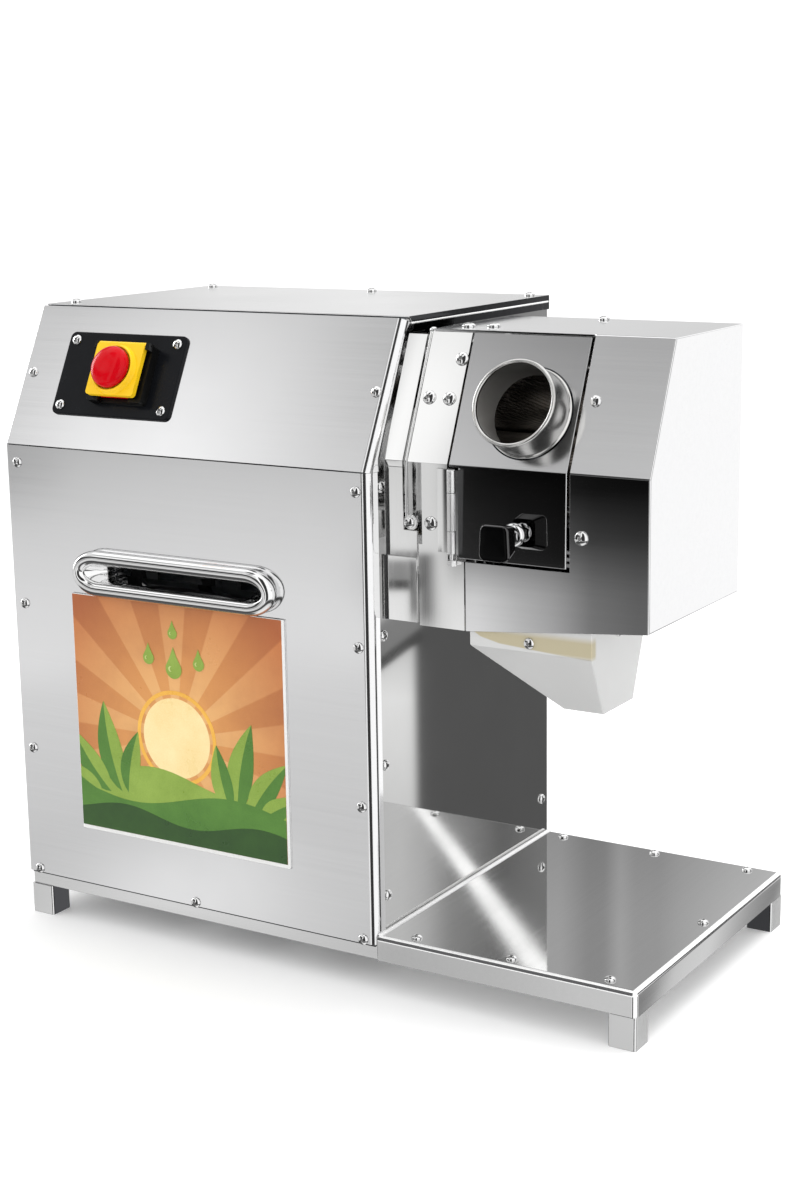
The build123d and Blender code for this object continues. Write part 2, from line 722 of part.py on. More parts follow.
rcover -= prism_y(
    [
        (0.0, 300.0),
        (300.0, 300.0),
        (300.0, bottom_z(300.0)),
        (88.0, bottom_z(88.0)),
        (0.0, bottom_z(88.0)),
    ],
    150,
    260,
)
nodes["head_rear_cover"] = one(rcover)

lf = prism_y(
    [
        (45.0, vin),
        (71.0, vin),
        (71.0, 413.0),
        (87.0, 413.0),
        (87.0, 351.3),
        (41.5, 351.3),
        (41.5, 425.0),
        (45.0, 425.0),
    ],
    HEAD_Y,
    HEAD_Y + T,
)
s_end = hl - 2.6
lf += prism_x(
    [
        (HEAD_Y, vin),
        (HEAD_Y, HEAD_ZF),
        on_h(0, s_end)[1:],
        on_h(0, s_end, -T)[1:],
        (HEAD_Y + T, vin),
    ],
    HEAD_X0,
    71.0,
)
lf_spots = [
    (on_h(65.8, 95.2), HN),
    (on_h(40.5, 58.8), HN),
    (on_h(60.8, 58.8), HN),
    ((54.2, HEAD_Y, 444.4), FRONT),
]
lf -= drills(lf_spots, r=4.0, depth=5)
nodes["left_front_plate"] = one(lf)

bk = bx(FLANGE_T + 0.2, 38.5, HEAD_Y + 0.2, HEAD_Y + 2.2, 353.0, 412.0)
bk += bx(5.0, 24.5, HEAD_Y + 2.2, HEAD_Y + 4.2, 417.0, HEAD_ZF - 1.0)
bk += bx(5.0, 38.5, HEAD_Y + 2.2, HEAD_Y + 4.2, 404.0, 436.0)
bk += prism_x(
    [
        (HEAD_Y + 2.2, HEAD_ZF - 6.0),
        (HEAD_Y + 2.2, vin),
        on_h(0, s_end - 2, -2.2)[1:],
        on_h(0, s_end - 2, -4.2)[1:],
        (HEAD_Y + 4.2, vin - 0.6),
        (HEAD_Y + 4.2, HEAD_ZF - 6.0),
    ],
    5.0,
    24.5,
)
nodes["wall_bracket"] = one(bk)
strip = prism_x(
    [
        (HEAD_Y, 446.0),
        (HEAD_Y, HEAD_ZF),
        on_h(0, s_end)[1:],
        on_h(0, s_end, -14.0)[1:],
        (HEAD_Y + 14.0, HEAD_ZF - 3.0),
        (HEAD_Y + 14.0, 446.0),
    ],
    27.5,
    30.2,
)
strip += rod((33.0, HEAD_Y, 443.5), BACK, 7.0, 2.0)
strip -= drills([((32.0, HEAD_Y, 443.5), FRONT)], depth=5)
bracket_spots = [((32.0, HEAD_Y, 443.5), FRONT)]
nodes["panel_screws"] = put(
    BUTTON,
    front_spots
    + panel_spots
    + roof_spots
    + wall_spots
    + left_spots
    + rear_spots
    + deck_spots
    + plate_spots
    + chute_spots
    + cover_spots
    + bracket_spots,
)
nodes["head_bolts"] = put(button(6.3, 3.6, 3.9, 5.0), cover_bolts + lf_spots)
pin_at = on_h(28.0, s_end, -5.0)
strip += Plane(origin=pin_at, z_dir=HT) * Pos(0, 0, -3.0) * Cylinder(2.95, 9.0, align=MIN)
nodes["profile_strip"] = one(strip)

# ---------------------------------------------------------------- inlet door
DY = 0.2
ds0, ds1 = 0.0, hl - 2.6
door = prism_x(
    [
        (HEAD_Y + DY, DOOR_Z0),
        (HEAD_Y + DY, HEAD_ZF),
        (on_h(0, ds1)[1] + DY, on_h(0, ds1)[2]),
        (on_h(0, ds1, -T)[1] + DY, on_h(0, ds1, -T)[2]),
        (HEAD_Y + DY + T, vin),
        (HEAD_Y + DY + T, DOOR_Z0),
    ],
    DOOR_X0,
    DOOR_X1,
)
inlet_c = on_h(INLET_X, INLET_S)
inner_end = tuple(inlet_c[i] - HN[i] * INLET_IN for i in range(3))
door -= rod(inner_end, HN, INLET_R, 60)
LATCH_X, LATCH_Z = 137.0, 441.5
door -= rod((LATCH_X, 0, LATCH_Z), BACK, 5.08, 60)
nodes["inlet_door"] = one(door)
pipe = rod(inner_end, HN, INLET_R, INLET_IN + INLET_H) - rod(
    tuple(inlet_c[i] - HN[i] * 20.0 for i in range(3)), HN, INLET_RI, 80
)
nodes["inlet_pipe"] = one(pipe)
HX, HYC, HR = 77.5, 13.3, 4.3
HZ = (420.0, 440.0, 474.0, 494.0)


def knuckle(z0, z1):
    return rod((HX, HYC, z0), UP, HR, z1 - z0)


fixed_leaf = bx(61.5, 72.8, 15.8, HEAD_Y, HZ[0], HZ[3])
for z0, z1 in ((HZ[0], HZ[1]), (HZ[2], HZ[3])):
    fixed_leaf += knuckle(z0, z1) + bx(72.8, HX, 15.8, 17.6, z0, z1)
fixed_leaf += rod((HX, HYC, HZ[0] - 8.0), UP, 1.6, HZ[3] - HZ[0] + 8.0)
fixed_leaf += Plane(origin=(HX, HYC, HZ[0] - 10.5), z_dir=UP) * extrude(
    RegularPolygon(4.4, 6), amount=5.0
)
nodes["hinge_fixed_leaf"] = one(fixed_leaf)
door_leaf = bx(82.2, 84.6, 12.6, HEAD_Y + DY, HZ[0], HZ[3])
door_leaf += knuckle(HZ[1] + 0.3, HZ[2] - 0.3) + bx(
    HX, 83.0, 13.0, 17.6, HZ[1] + 0.3, HZ[2] - 0.3
)
door_leaf -= rod((HX, HYC, HZ[0] - 5), UP, 1.66, 100)
nodes["hinge_door_leaf"] = one(door_leaf)
nodes["latch_bezel"] = one(
    rod((LATCH_X, 12.5, LATCH_Z), BACK, 10.2, HEAD_Y + DY - 12.5)
    - rod((LATCH_X, 0.0, LATCH_Z), BACK, 5.08, 40)
)
GRIP_Y0, GRIP_Y1 = -19.5, -1.5
stem = rod((LATCH_X, GRIP_Y1, LATCH_Z), BACK, 5.0, 25.0 - GRIP_Y1)
stem += rod((LATCH_X, GRIP_Y1, LATCH_Z), BACK, 8.2, 2.0)
stem += Plane(origin=(LATCH_X, GRIP_Y1 + 2.0, LATCH_Z), z_dir=BACK) * extrude(
    RegularPolygon(8.0, 6), amount=10.0
)


def trapeze(y, w0, w1, h0, h1):
    """Outline of the grip across its axis: wider at the lower end."""
    return make_face(
        Polyline(
            (LATCH_X - w0, y, LATCH_Z - h0),
            (LATCH_X + w0, y, LATCH_Z - h0),
            (LATCH_X + w1, y, LATCH_Z + h1),
            (LATCH_X - w1, y, LATCH_Z + h1),
            close=True,
        )
    )


grip = loft(
    [trapeze(GRIP_Y1, 11.4, 10.8, 13.0, 11.6), trapeze(GRIP_Y0, 14.8, 13.4, 17.5, 14.0)]
)
grip = fil(grip, 5.0, lambda e: abs(e.tangent_at(0.5).Y) > 0.85)
grip = fil(grip, 2.5, lambda e: e.center().Y < GRIP_Y0 + 0.4)
nodes["latch_grip"] = one(grip)
cam = bx(LATCH_X - 45, LATCH_X, 21.2, 24.6, LATCH_Z - 7, LATCH_Z + 7)
cam += rod((LATCH_X, 21.2, LATCH_Z), BACK, 9.0, 3.4)
nodes["latch_stem"] = one(stem + cam)

# ---------------------------------------------------------------- drive
MX0, MX1 = -262.0, -88.0
stator = rod_x(MOTOR_YZ, MOTOR_R, MX0, MX1)
feet = bx(-240, -100, 108, 242, 53, 64) + bx(-240, -100, 138, 212, 64, 85)
feet += bx(-212, -138, 150, 200, 165, 218)
stator = stator + feet
stator -= rod_x(MOTOR_YZ, 42, MX0 - 1, MX1 + 1)
stator -= [rod((x, y, 40), UP, 4.1, 45) for x, y in motor_bolt_at]
nodes["motor_stator"] = one(stator)
nodes["motor_bells"] = group(
    [
        tube_x(MOTOR_YZ, MOTOR_R, 12.05, MX0 - 14, MX0),
        tube_x(MOTOR_YZ, MOTOR_R, 12.05, MX1, MX1 + 14),
    ]
)
rotor = rod_x(MOTOR_YZ, 12.0, PULLEY_X[0] - 6, -68.0) + rod_x(
    MOTOR_YZ, 41.0, MX0 + 18, MX1 - 18
)
nodes["motor_rotor"] = one(rotor)


def pulley(c, r, groove, bore):
    p = rod_x(c, r, *PULLEY_X)
    xm = sum(PULLEY_X) / 2
    p -= tube_x(c, r + 2, groove, xm - 6.6, xm + 6.6)
    p -= rod_x(c, bore, PULLEY_X[0] - 1, PULLEY_X[1] + 1)
    return one(p)


nodes["motor_pulley"] = pulley(MOTOR_YZ, 40.0, 31.0, 12.0)
nodes["gearbox_pulley"] = pulley(IN_YZ, 70.0, 61.0, 10.0)


def hull_face(r1, r2, x):
    a, b = MOTOR_YZ, IN_YZ
    d = math.hypot(b[0] - a[0], b[1] - a[1])
    phi = math.atan2(b[1] - a[1], b[0] - a[0])
    beta = math.acos((r1 - r2) / d)

    def at(c, r, ang):
        return (x, c[0] + r * math.cos(ang), c[1] + r * math.sin(ang))

    a1, a2 = at(a, r1, phi + beta), at(a, r1, phi - beta)
    b1, b2 = at(b, r2, phi + beta), at(b, r2, phi - beta)
    edges = [
        Line(a1, b1),
        ThreePointArc(b1, at(b, r2, phi), b2),
        Line(b2, a2),
        ThreePointArc(a2, at(a, r1, phi + math.pi), a1),
    ]
    return make_face(edges)


bxm = sum(PULLEY_X) / 2
belt = extrude(hull_face(39.0, 69.0, bxm - 6.0), amount=12.0, dir=RIGHT)
belt -= extrude(hull_face(31.6, 61.6, bxm - 7.0), amount=14.0, dir=RIGHT)
nodes["drive_belt"] = one(belt)
nodes["gearbox_input_shaft"] = one(rod_x(IN_YZ, 10.0, PULLEY_X[0] - 6, -150))
GX0, GX1 = -200.0, -80.0
gb = bx(GX0, GX1, 64, 172, 440, 588)
gb = fil(gb, 10.0, lambda e: abs(e.tangent_at(0.5).X) > 0.9 and e.center().Z > 580)
gb += bx(GX0 - 6, GX0, 70, 166, 448, 580)
gb += bx(GX0, GX1, 26, 212, 440, 450)
gb -= bx(GX0 + 10, GX1 - 10, 74, 162, 455, 577)
gb -= rod_x(TOP_YZ, SHAFT_R + 0.05, -132, GX1 + 5)
gb -= rod_x(IN_YZ, 10.05, GX0 - 10, -148)
gb -= [rod((x, y, 400), UP, 4.1, 80) for x, y in shelf_bolt_at]
nodes["gearbox_housing"] = one(gb)
nodes["gearbox_output_shaft"] = one(
    rod_x(TOP_YZ, SHAFT_R, -130, -50) + tube_x(TOP_YZ, 24.0, SHAFT_R, -74, -26)
)
nodes["drive_bolts"] = group(
    [Plane(origin=(x, y, 450), z_dir=UP) * HEXB for x, y in shelf_bolt_at]
    + [Plane(origin=(x, y, 64), z_dir=UP) * HEXB for x, y in motor_bolt_at]
)

# ---------------------------------------------------------------- shift and write
lo, hi = [1e9] * 3, [-1e9] * 3
for name, shape in nodes.items():
    moved = Pos(*SHIFT) * shape
    b = moved.bounding_box()
    for i, (a, c) in enumerate(
        ((b.min.X, b.max.X), (b.min.Y, b.max.Y), (b.min.Z, b.max.Z))
    ):
        lo[i], hi[i] = min(lo[i], a), max(hi[i], c)
    export_step(moved, "parts/" + name + ".step")
print(len(nodes), "nodes", [round(v, 2) for v in lo], [round(v, 2) for v in hi])
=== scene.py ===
import bpy
import bmesh
import math
import random
from mathutils import Matrix, Vector


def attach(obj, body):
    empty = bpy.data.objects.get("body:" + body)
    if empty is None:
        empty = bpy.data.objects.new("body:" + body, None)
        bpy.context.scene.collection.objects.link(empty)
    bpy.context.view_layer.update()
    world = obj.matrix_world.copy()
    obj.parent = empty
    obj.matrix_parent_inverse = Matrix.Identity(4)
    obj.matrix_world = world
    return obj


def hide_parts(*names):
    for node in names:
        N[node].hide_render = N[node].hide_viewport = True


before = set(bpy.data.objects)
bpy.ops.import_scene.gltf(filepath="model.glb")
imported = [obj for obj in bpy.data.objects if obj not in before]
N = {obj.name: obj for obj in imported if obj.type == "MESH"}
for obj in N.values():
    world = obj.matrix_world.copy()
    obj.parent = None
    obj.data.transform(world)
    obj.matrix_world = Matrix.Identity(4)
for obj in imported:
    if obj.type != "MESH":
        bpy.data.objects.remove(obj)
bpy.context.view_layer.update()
random.seed(7)
MM = 0.001
SX, SY = 79.45, -169.25


def W(x, y, z):
    """Working frame of the drawing (mm, X = 0 at the body's right wall) to metres."""
    return Vector(((x + SX) * MM, (y + SY) * MM, z * MM))


def basis(origin, xdir, zdir):
    x, z = Vector(xdir).normalized(), Vector(zdir).normalized()
    y = z.cross(x)
    m = Matrix.Identity(4)
    for i in range(3):
        m[i][0], m[i][1], m[i][2], m[i][3] = x[i], y[i], z[i], origin[i]
    return m


sl = math.hypot(66.0, 131.0)
ST = Vector((0, 66.0 / sl, 131.0 / sl))
SN = Vector((0, -131.0 / sl, 66.0 / sl))
hl = math.hypot(48.4, 111.9)
HT = Vector((0, 48.4 / hl, 111.9 / hl))
HN = Vector((0, -111.9 / hl, 48.4 / hl))
SLOPE = basis(W(0, 0, 488.0), (1, 0, 0), SN)
HEAD = basis(W(0, 17.8, 497.9), (1, 0, 0), HN)
FRONT, RIGHT, LEFT, BACK, UP = (
    Vector((0, -1, 0)),
    Vector((1, 0, 0)),
    Vector((-1, 0, 0)),
    Vector((0, 1, 0)),
    Vector((0, 0, 1)),
)


def on_s(x, s, h=0.0):
    return SLOPE @ Vector((x * MM, s * MM, h * MM))


def on_h(x, s, h=0.0):
    return HEAD @ Vector((x * MM, s * MM, h * MM))


def s_mm(x, s, h=0.0):
    return (x, s * ST.y + h * SN.y, 488.0 + s * ST.z + h * SN.z)


def h_mm(x, s, h=0.0):
    return (x, 17.8 + s * HT.y + h * HN.y, 497.9 + s * HT.z + h * HN.z)


# ------------------------------------------------------------------ node helpers
class Tree:
    """Short ways to add nodes to a node tree."""

    def __init__(self, tree):
        self.t = tree

    def new(self, kind, **props):
        n = self.t.nodes.new(kind)
        for k, v in props.items():
            setattr(n, k, v)
        return n

    def link(self, a, b):
        self.t.links.new(a, b)

    def put(self, sock, v):
        if isinstance(v, (int, float)):
            sock.default_value = v
        elif isinstance(v, (tuple, list)):
            sock.default_value = (*v, 1) if len(v) == 3 and sock.type == "RGBA" else v
        else:
            self.link(v, sock)

    def ramp(self, fac, stops, mode="LINEAR"):
        r = self.new("ShaderNodeValToRGB")
        r.color_ramp.interpolation = mode
        el = r.color_ramp.elements
        while len(el) < len(stops):
            el.new(0.5)
        for e, (p, c) in zip(el, stops):
            e.position = p
            e.color = (*c, 1) if len(c) == 3 else c
        self.link(fac, r.inputs["Fac"])
        return r.outputs["Color"]

    def span(self, fac, lo, hi, f0=0.0, f1=1.0, smooth=False):
        n = self.new("ShaderNodeMapRange")
        if smooth:
            n.interpolation_type = "SMOOTHSTEP"
        n.inputs["From Min"].default_value = f0
        n.inputs["From Max"].default_value = f1
        n.inputs["To Min"].default_value = lo
        n.inputs["To Max"].default_value = hi
        self.link(fac, n.inputs["Value"])
        return n.outputs["Result"]

    def math(self, op, a, b=None):
        n = self.new("ShaderNodeMath", operation=op)
        for i, v in enumerate((a, b)):
            if v is not None:
                self.put(n.inputs[i], v)
        return n.outputs["Value"]

    def blend(self, fac, a, b):
        """Numbers a to b."""
        n = self.new("ShaderNodeMix", data_type="FLOAT")
        ins = [i for i in n.inputs if i.type == "VALUE"]
        for sock, v in zip(ins, (fac, a, b)):
            self.put(sock, v)
        return [o for o in n.outputs if o.type == "VALUE"][0]

    def mix(self, fac, a, b, kind="MIX"):
        """Colours a to b."""
        n = self.new("ShaderNodeMix", data_type="RGBA", blend_type=kind)
        self.put(n.inputs["Factor"], fac)
        ins = [i for i in n.inputs if i.type == "RGBA"]
        for sock, v in zip(ins, (a, b)):
            self.put(sock, v)
        return [o for o in n.outputs if o.type == "RGBA"][0]


class Mat(Tree):
    def __init__(self, name):
        self.m = bpy.data.materials.new(name)
        self.m.use_nodes = True
        super().__init__(self.m.node_tree)
        self.t.nodes.clear()
        self.out = self.new("ShaderNodeOutputMaterial")
        self.p = self.new("ShaderNodeBsdfPrincipled")
        self.link(self.p.outputs["BSDF"], self.out.inputs["Surface"])
        self.co = self.new("ShaderNodeTexCoord")

    def mapped(self, scale, rot=(0, 0, 0), loc=(0, 0, 0)):
        mp = self.new("ShaderNodeMapping")
        mp.inputs["Scale"].default_value = scale
        mp.inputs["Rotation"].default_value = rot
        mp.inputs["Location"].default_value = loc
        self.link(self.co.outputs["Object"], mp.inputs["Vector"])
        return mp.outputs["Vector"]

    def xyz(self):
        s = self.new("ShaderNodeSeparateXYZ")
        self.link(self.co.outputs["Object"], s.inputs["Vector"])
        return s.outputs

    def noise(self, vec, scale=1.0, detail=2.0, rough=0.5, dist=0.0):
        n = self.new("ShaderNodeTexNoise")
        n.inputs["Scale"].default_value = scale
        n.inputs["Detail"].default_value = detail
        n.inputs["Roughness"].default_value = rough
        n.inputs["Distortion"].default_value = dist
        self.link(vec, n.inputs["Vector"])
        return n.outputs["Fac"]

    def bump(self, height, strength=0.2, distance=0.0005):
        b = self.new("ShaderNodeBump")
        b.inputs["Strength"].default_value = strength
        b.inputs["Distance"].default_value = distance
        self.link(height, b.inputs["Height"])
        self.link(b.outputs["Normal"], self.p.inputs["Normal"])

    def set(self, **kw):
        names = {
            "metal": "Metallic",
            "rough": "Roughness",
            "color": "Base Color",
            "spec": "Specular IOR Level",
            "coat": "Coat Weight",
            "coat_rough": "Coat Roughness",
            "aniso": "Anisotropic",
        }
        for k, v in kw.items():
            self.put(self.p.inputs[names[k]], v)
        return self


def brushed(
    name, along, base, r0, r1, bump=0.008, smudge=0.5, fine=1500.0, tint=None, amp=0.02, above=None
):
    """Sheet steel with grain running along one axis; above = (height, extra roughness over it)."""
    m = Mat(name)
    sc = [fine, fine, fine]
    sc["XYZ".index(along)] = 5.0
    grain = m.noise(m.mapped(sc), 1.0, 3.0, 0.65)
    sc2 = [v * 0.16 if v > 100 else 1.7 for v in sc]
    bands = m.noise(m.mapped(sc2, loc=(3, 1, 2)), 1.0, 2.0, 0.5)
    cloud = m.noise(m.mapped((7, 7, 7)), 1.0, 4.0, 0.55)
    tone = m.math("ADD", m.math("MULTIPLY", grain, 0.6), m.math("MULTIPLY", bands, 0.4))
    lo = tuple(c * (1 - 1.3 * amp) for c in base)
    hi = tuple(min(1.0, c * (1 + amp)) for c in base)
    color = m.ramp(tone, [(0.30, lo), (0.70, hi)])
    if tint:
        color = tint(m, color)
    m.set(color=color, metal=1.0)
    rough = m.math(
        "ADD",
        m.span(tone, r0, r1, 0.3, 0.7),
        m.span(cloud, -0.04 * smudge, 0.04 * smudge, 0.3, 0.7),
    )
    if above:
        more = m.span(m.xyz()["Z"], 0.0, above[1], above[0] - 0.001, above[0] + 0.001)
        more = m.math("MULTIPLY", more, m.span(m.xyz()["X"], 1.0, 0.0, 0.3415, 0.3417))
        rough = m.math("ADD", rough, more)
    m.set(rough=m.math("MAXIMUM", rough, 0.02))
    m.bump(grain, bump, 0.0002)
    return m.m


def polished(name, base, r0, r1, bump=0.02, along="X", tint=None, streak=0.02):
    m = Mat(name)
    cloud = m.noise(m.mapped((11, 11, 11)), 1.0, 5.0, 0.6)
    sc = [420.0, 420.0, 420.0]
    sc["XYZ".index(along)] = 9.0
    grain = m.noise(m.mapped(sc), 1.0, 2.0, 0.6)
    lo = tuple(c * 0.95 for c in base)
    color = m.ramp(cloud, [(0.3, lo), (0.7, base)])
    if tint:
        color = tint(m, color)
    m.set(color=color, metal=1.0)
    m.set(
        rough=m.math(
            "ADD", m.span(cloud, r0, r1, 0.35, 0.75), m.span(grain, 0.0, streak, 0.3, 0.7)
        )
    )
    m.bump(grain, bump, 0.0001)
    return m.m


def plastic(name, base, r0, r1, grain=900.0, bump=0.03, coat=0.0, var=0.06, spec=0.5):
    m = Mat(name).set(spec=spec)
    fine = m.noise(m.mapped((grain,) * 3), 1.0, 2.0, 0.5)
    cloud = m.noise(m.mapped((35, 35, 35)), 1.0, 4.0, 0.6)
    lo = tuple(c * (1 - var) for c in base)
    hi = tuple(min(1.0, c * (1 + var)) for c in base)
    m.set(color=m.ramp(cloud, [(0.3, lo), (0.7, hi)]), rough=m.span(cloud, r0, r1, 0.3, 0.7))
    if coat:
        m.set(coat=coat, coat_rough=0.08)
    m.bump(fine, bump, 0.0002)
    return m.m


def head_shade_tint(m, color):
    """Painted shade: a warm darker band low on the flange of the spout, under the head."""
    z = m.xyz()["Z"]
    near = m.math(
        "MULTIPLY", m.span(z, 0.0, 1.0, 0.336, 0.341), m.span(z, 1.0, 0.0, 0.352, 0.358)
    )
    y = W(0, 26, 0).y
    near = m.math("MULTIPLY", near, m.span(m.xyz()["Y"], 1.0, 0.0, y, y + 0.004))
    low = m.ramp(
        m.span(m.xyz()["X"], 0.0, 1.0, W(91, 0, 0).x, W(210, 0, 0).x),
        [(0.0, (1.0,) * 3), (0.09, (0.62,) * 3), (0.25, (0.36,) * 3), (0.5, (0.24,) * 3), (1.0, (0.0,) * 3)],
    )
    edge = m.math("ADD", 0.3372, m.math("MULTIPLY", low, 0.0165))
    near = m.math("MULTIPLY", near, m.span(m.math("SUBTRACT", z, edge), 0.0, 1.0, -0.0004, 0.0006))
    return m.mix(m.math("MULTIPLY", near, 0.85), color, (0.56, 0.49, 0.30))


def door_painted_dark(m, color):
    """Painted dark reflection on the slope of the door, darker towards its top."""
    z = m.xyz()["Z"]
    k = m.math("MULTIPLY", m.span(z, 0.16, 0.42, 0.4981, 0.605), m.span(z, 0.0, 1.0, 0.4975, 0.4981))
    return m.mix(k, color, (0.0, 0.0, 0.0))


M = {}
M["front"] = brushed("sheet_front", "X", (0.80, 0.80, 0.805), 0.075, 0.11)
M["slope"] = brushed("sheet_slope", "X", (0.80, 0.80, 0.805), 0.10, 0.14)
M["wall"] = polished("sheet_wall", (0.74, 0.74, 0.735), 0.026, 0.030, 0.0004, "Y", streak=0.001)
M["deck"] = brushed("sheet_deck", "Y", (0.72, 0.72, 0.72), 0.025, 0.05, 0.004, 0.3)
M["roof"] = brushed("sheet_roof", "X", (0.78, 0.78, 0.78), 0.10, 0.15)
M["plain"] = brushed("sheet_plain", "X", (0.76, 0.76, 0.76), 0.10, 0.15)
M["side"] = brushed("sheet_side", "Y", (0.76, 0.76, 0.76), 0.10, 0.15)
M["head"] = brushed("sheet_head", "X", (0.76, 0.76, 0.765), 0.025, 0.04, 0.002, 0.15, above=(0.4979, 0.06))
# the door slope's darkening towards its top is a painted dark reflection
M["door"] = brushed("sheet_door", "X", (0.74, 0.74, 0.745), 0.025, 0.04, 0.002, 0.15, tint=door_painted_dark, above=(0.4979, 0.13))
M["light"] = brushed("sheet_light", "Z", (0.86, 0.86, 0.855), 0.025, 0.04, 0.002, 0.2, above=(0.4979, 0.05))
M["mirror"] = polished("sheet_mirror", (0.80, 0.80, 0.80), 0.03, 0.08)
M["pipe"] = polished("turned_pipe", (0.72, 0.715, 0.70), 0.17, 0.25, 0.03)
M["ring"] = polished("bent_tube", (0.84, 0.84, 0.84), 0.03, 0.06)
M["screw"] = polished("screw_steel", (0.82, 0.82, 0.82), 0.05, 0.10)
M["chrome"] = polished("chrome", (0.85, 0.85, 0.855), 0.02, 0.06)
M["hinge"] = brushed("hinge_steel", "Z", (0.86, 0.86, 0.86), 0.36, 0.44)
# near-black steel used as painted shade in gaps, under edges and on shaded faces
M["shade"] = brushed("painted_shade_steel", "Z", (0.055, 0.056, 0.060), 0.10, 0.15)
M["machined"] = polished("machined_steel", (0.50, 0.50, 0.50), 0.2, 0.34, 0.05)
M["roller"] = polished("roller_steel", (0.24, 0.215, 0.19), 0.32, 0.46, 0.10)
M["mount"] = brushed("mount_steel", "Z", (0.82, 0.82, 0.82), 0.12, 0.18)
M["plate"] = brushed("plate_steel", "Y", (0.45, 0.45, 0.45), 0.28, 0.42, 0.06)
M["bronze"] = polished("bronze", (0.62, 0.40, 0.18), 0.22, 0.38, 0.04)
# grip_face and grip_edge are shaded and lit copies of one black plastic: the face barely reflects, the edge copy is
# glossy so its rim shows a highlight
M["knob"] = plastic("grip_face", (0.0012, 0.0012, 0.0013), 0.12, 0.18, 1200, 0.002, var=0.3, spec=0.05)
M["edge"] = plastic("grip_edge", (0.0012, 0.0012, 0.0013), 0.05, 0.08, 1200, 0.001, var=0.3, spec=1.0)
M["black"] = plastic("black_plastic", (0.003, 0.003, 0.0033), 0.08, 0.13, 1200, 0.002, var=0.3, spec=0.45)
M["black_plate"] = plastic("black_plate", (0.0055, 0.006, 0.0075), 0.20, 0.30, 1500, 0.02, var=0.2, spec=0.13)
M["grey"] = plastic("switch_moulding", (0.004, 0.004, 0.004), 0.3, 0.42, 1400, 0.03, var=0.3, spec=0.2)
M["yellow"] = plastic("yellow_plastic", (0.84, 0.53, 0.010), 0.26, 0.36, 1100, 0.008, spec=0.3)
M["red"] = plastic("red_plastic", (0.52, 0.001, 0.006), 0.11, 0.16, 1100, 0.003, spec=0.16)
M["green"] = plastic("green_plastic", (0.02, 0.30, 0.05), 0.25, 0.4, 1100, 0.02)
M["rubber"] = plastic("foot_rubber", (0.018, 0.018, 0.018), 0.6, 0.8, 700, 0.2, var=0.3)
M["frame"] = plastic("frame_paint", (0.16, 0.17, 0.18), 0.35, 0.5, 500, 0.1, var=0.15)
M["motor"] = plastic("motor_enamel", (0.055, 0.085, 0.12), 0.3, 0.45, 380, 0.12, var=0.12)
M["iron"] = plastic("cast_iron", (0.06, 0.06, 0.063), 0.5, 0.7, 320, 0.35, var=0.25)
M["board"] = plastic("board_enamel", (0.72, 0.72, 0.71), 0.3, 0.42, 900, 0.03, var=0.04)


def satin(name, base, metal, r0, r1, tint=None, size=60):
    """Light satin steel that also scatters some of the light."""
    m = Mat(name)
    cloud = m.noise(m.mapped((size, size, size)), 1.0, 4.0, 0.6)
    color = m.ramp(cloud, [(0.3, tuple(c * 0.95 for c in base)), (0.7, base)])
    m.set(color=tint(m, color) if tint else color, metal=metal)
    m.set(rough=m.span(cloud, r0, r1, 0.3, 0.7))
    m.bump(cloud, 0.01, 0.0002)
    return m.m


# near-white satin put on thin hems and edge bands as painted highlight lines
M["seam"] = satin("seam_steel", (0.93, 0.93, 0.93), 0.15, 0.3, 0.4)
# the spout's warm darker band under the head is painted shade
M["spout"] = satin("sheet_spout", (0.75, 0.75, 0.745), 0.48, 0.20, 0.26, head_shade_tint, 9)
# darker steel for the hexagon sockets is painted shade in the recess
M["socket"] = satin("screw_socket_shade", (0.34, 0.34, 0.34), 0.40, 0.40, 0.50)
# dark satin used as painted shade on the turns of rolled edges
M["dim"] = satin("edge_dim", (0.10, 0.10, 0.103), 0.3, 0.30, 0.40)


def bore_painted_shade(m, color):
    """Painted shade inside the feed pipe, darker towards its top."""
    z = m.xyz()["Z"]
    return m.mix(m.span(z, 0.10, 0.84, 0.540, 0.578), color, (0.02, 0.019, 0.017))


# the bore material carries painted shade towards the pipe's top
M["bore"] = satin("pipe_bore", (0.60, 0.585, 0.56), 0.55, 0.30, 0.40, bore_painted_shade)


def assign(node, mat):
    o = N[node]
    o.data.materials.clear()
    o.data.materials.append(mat)


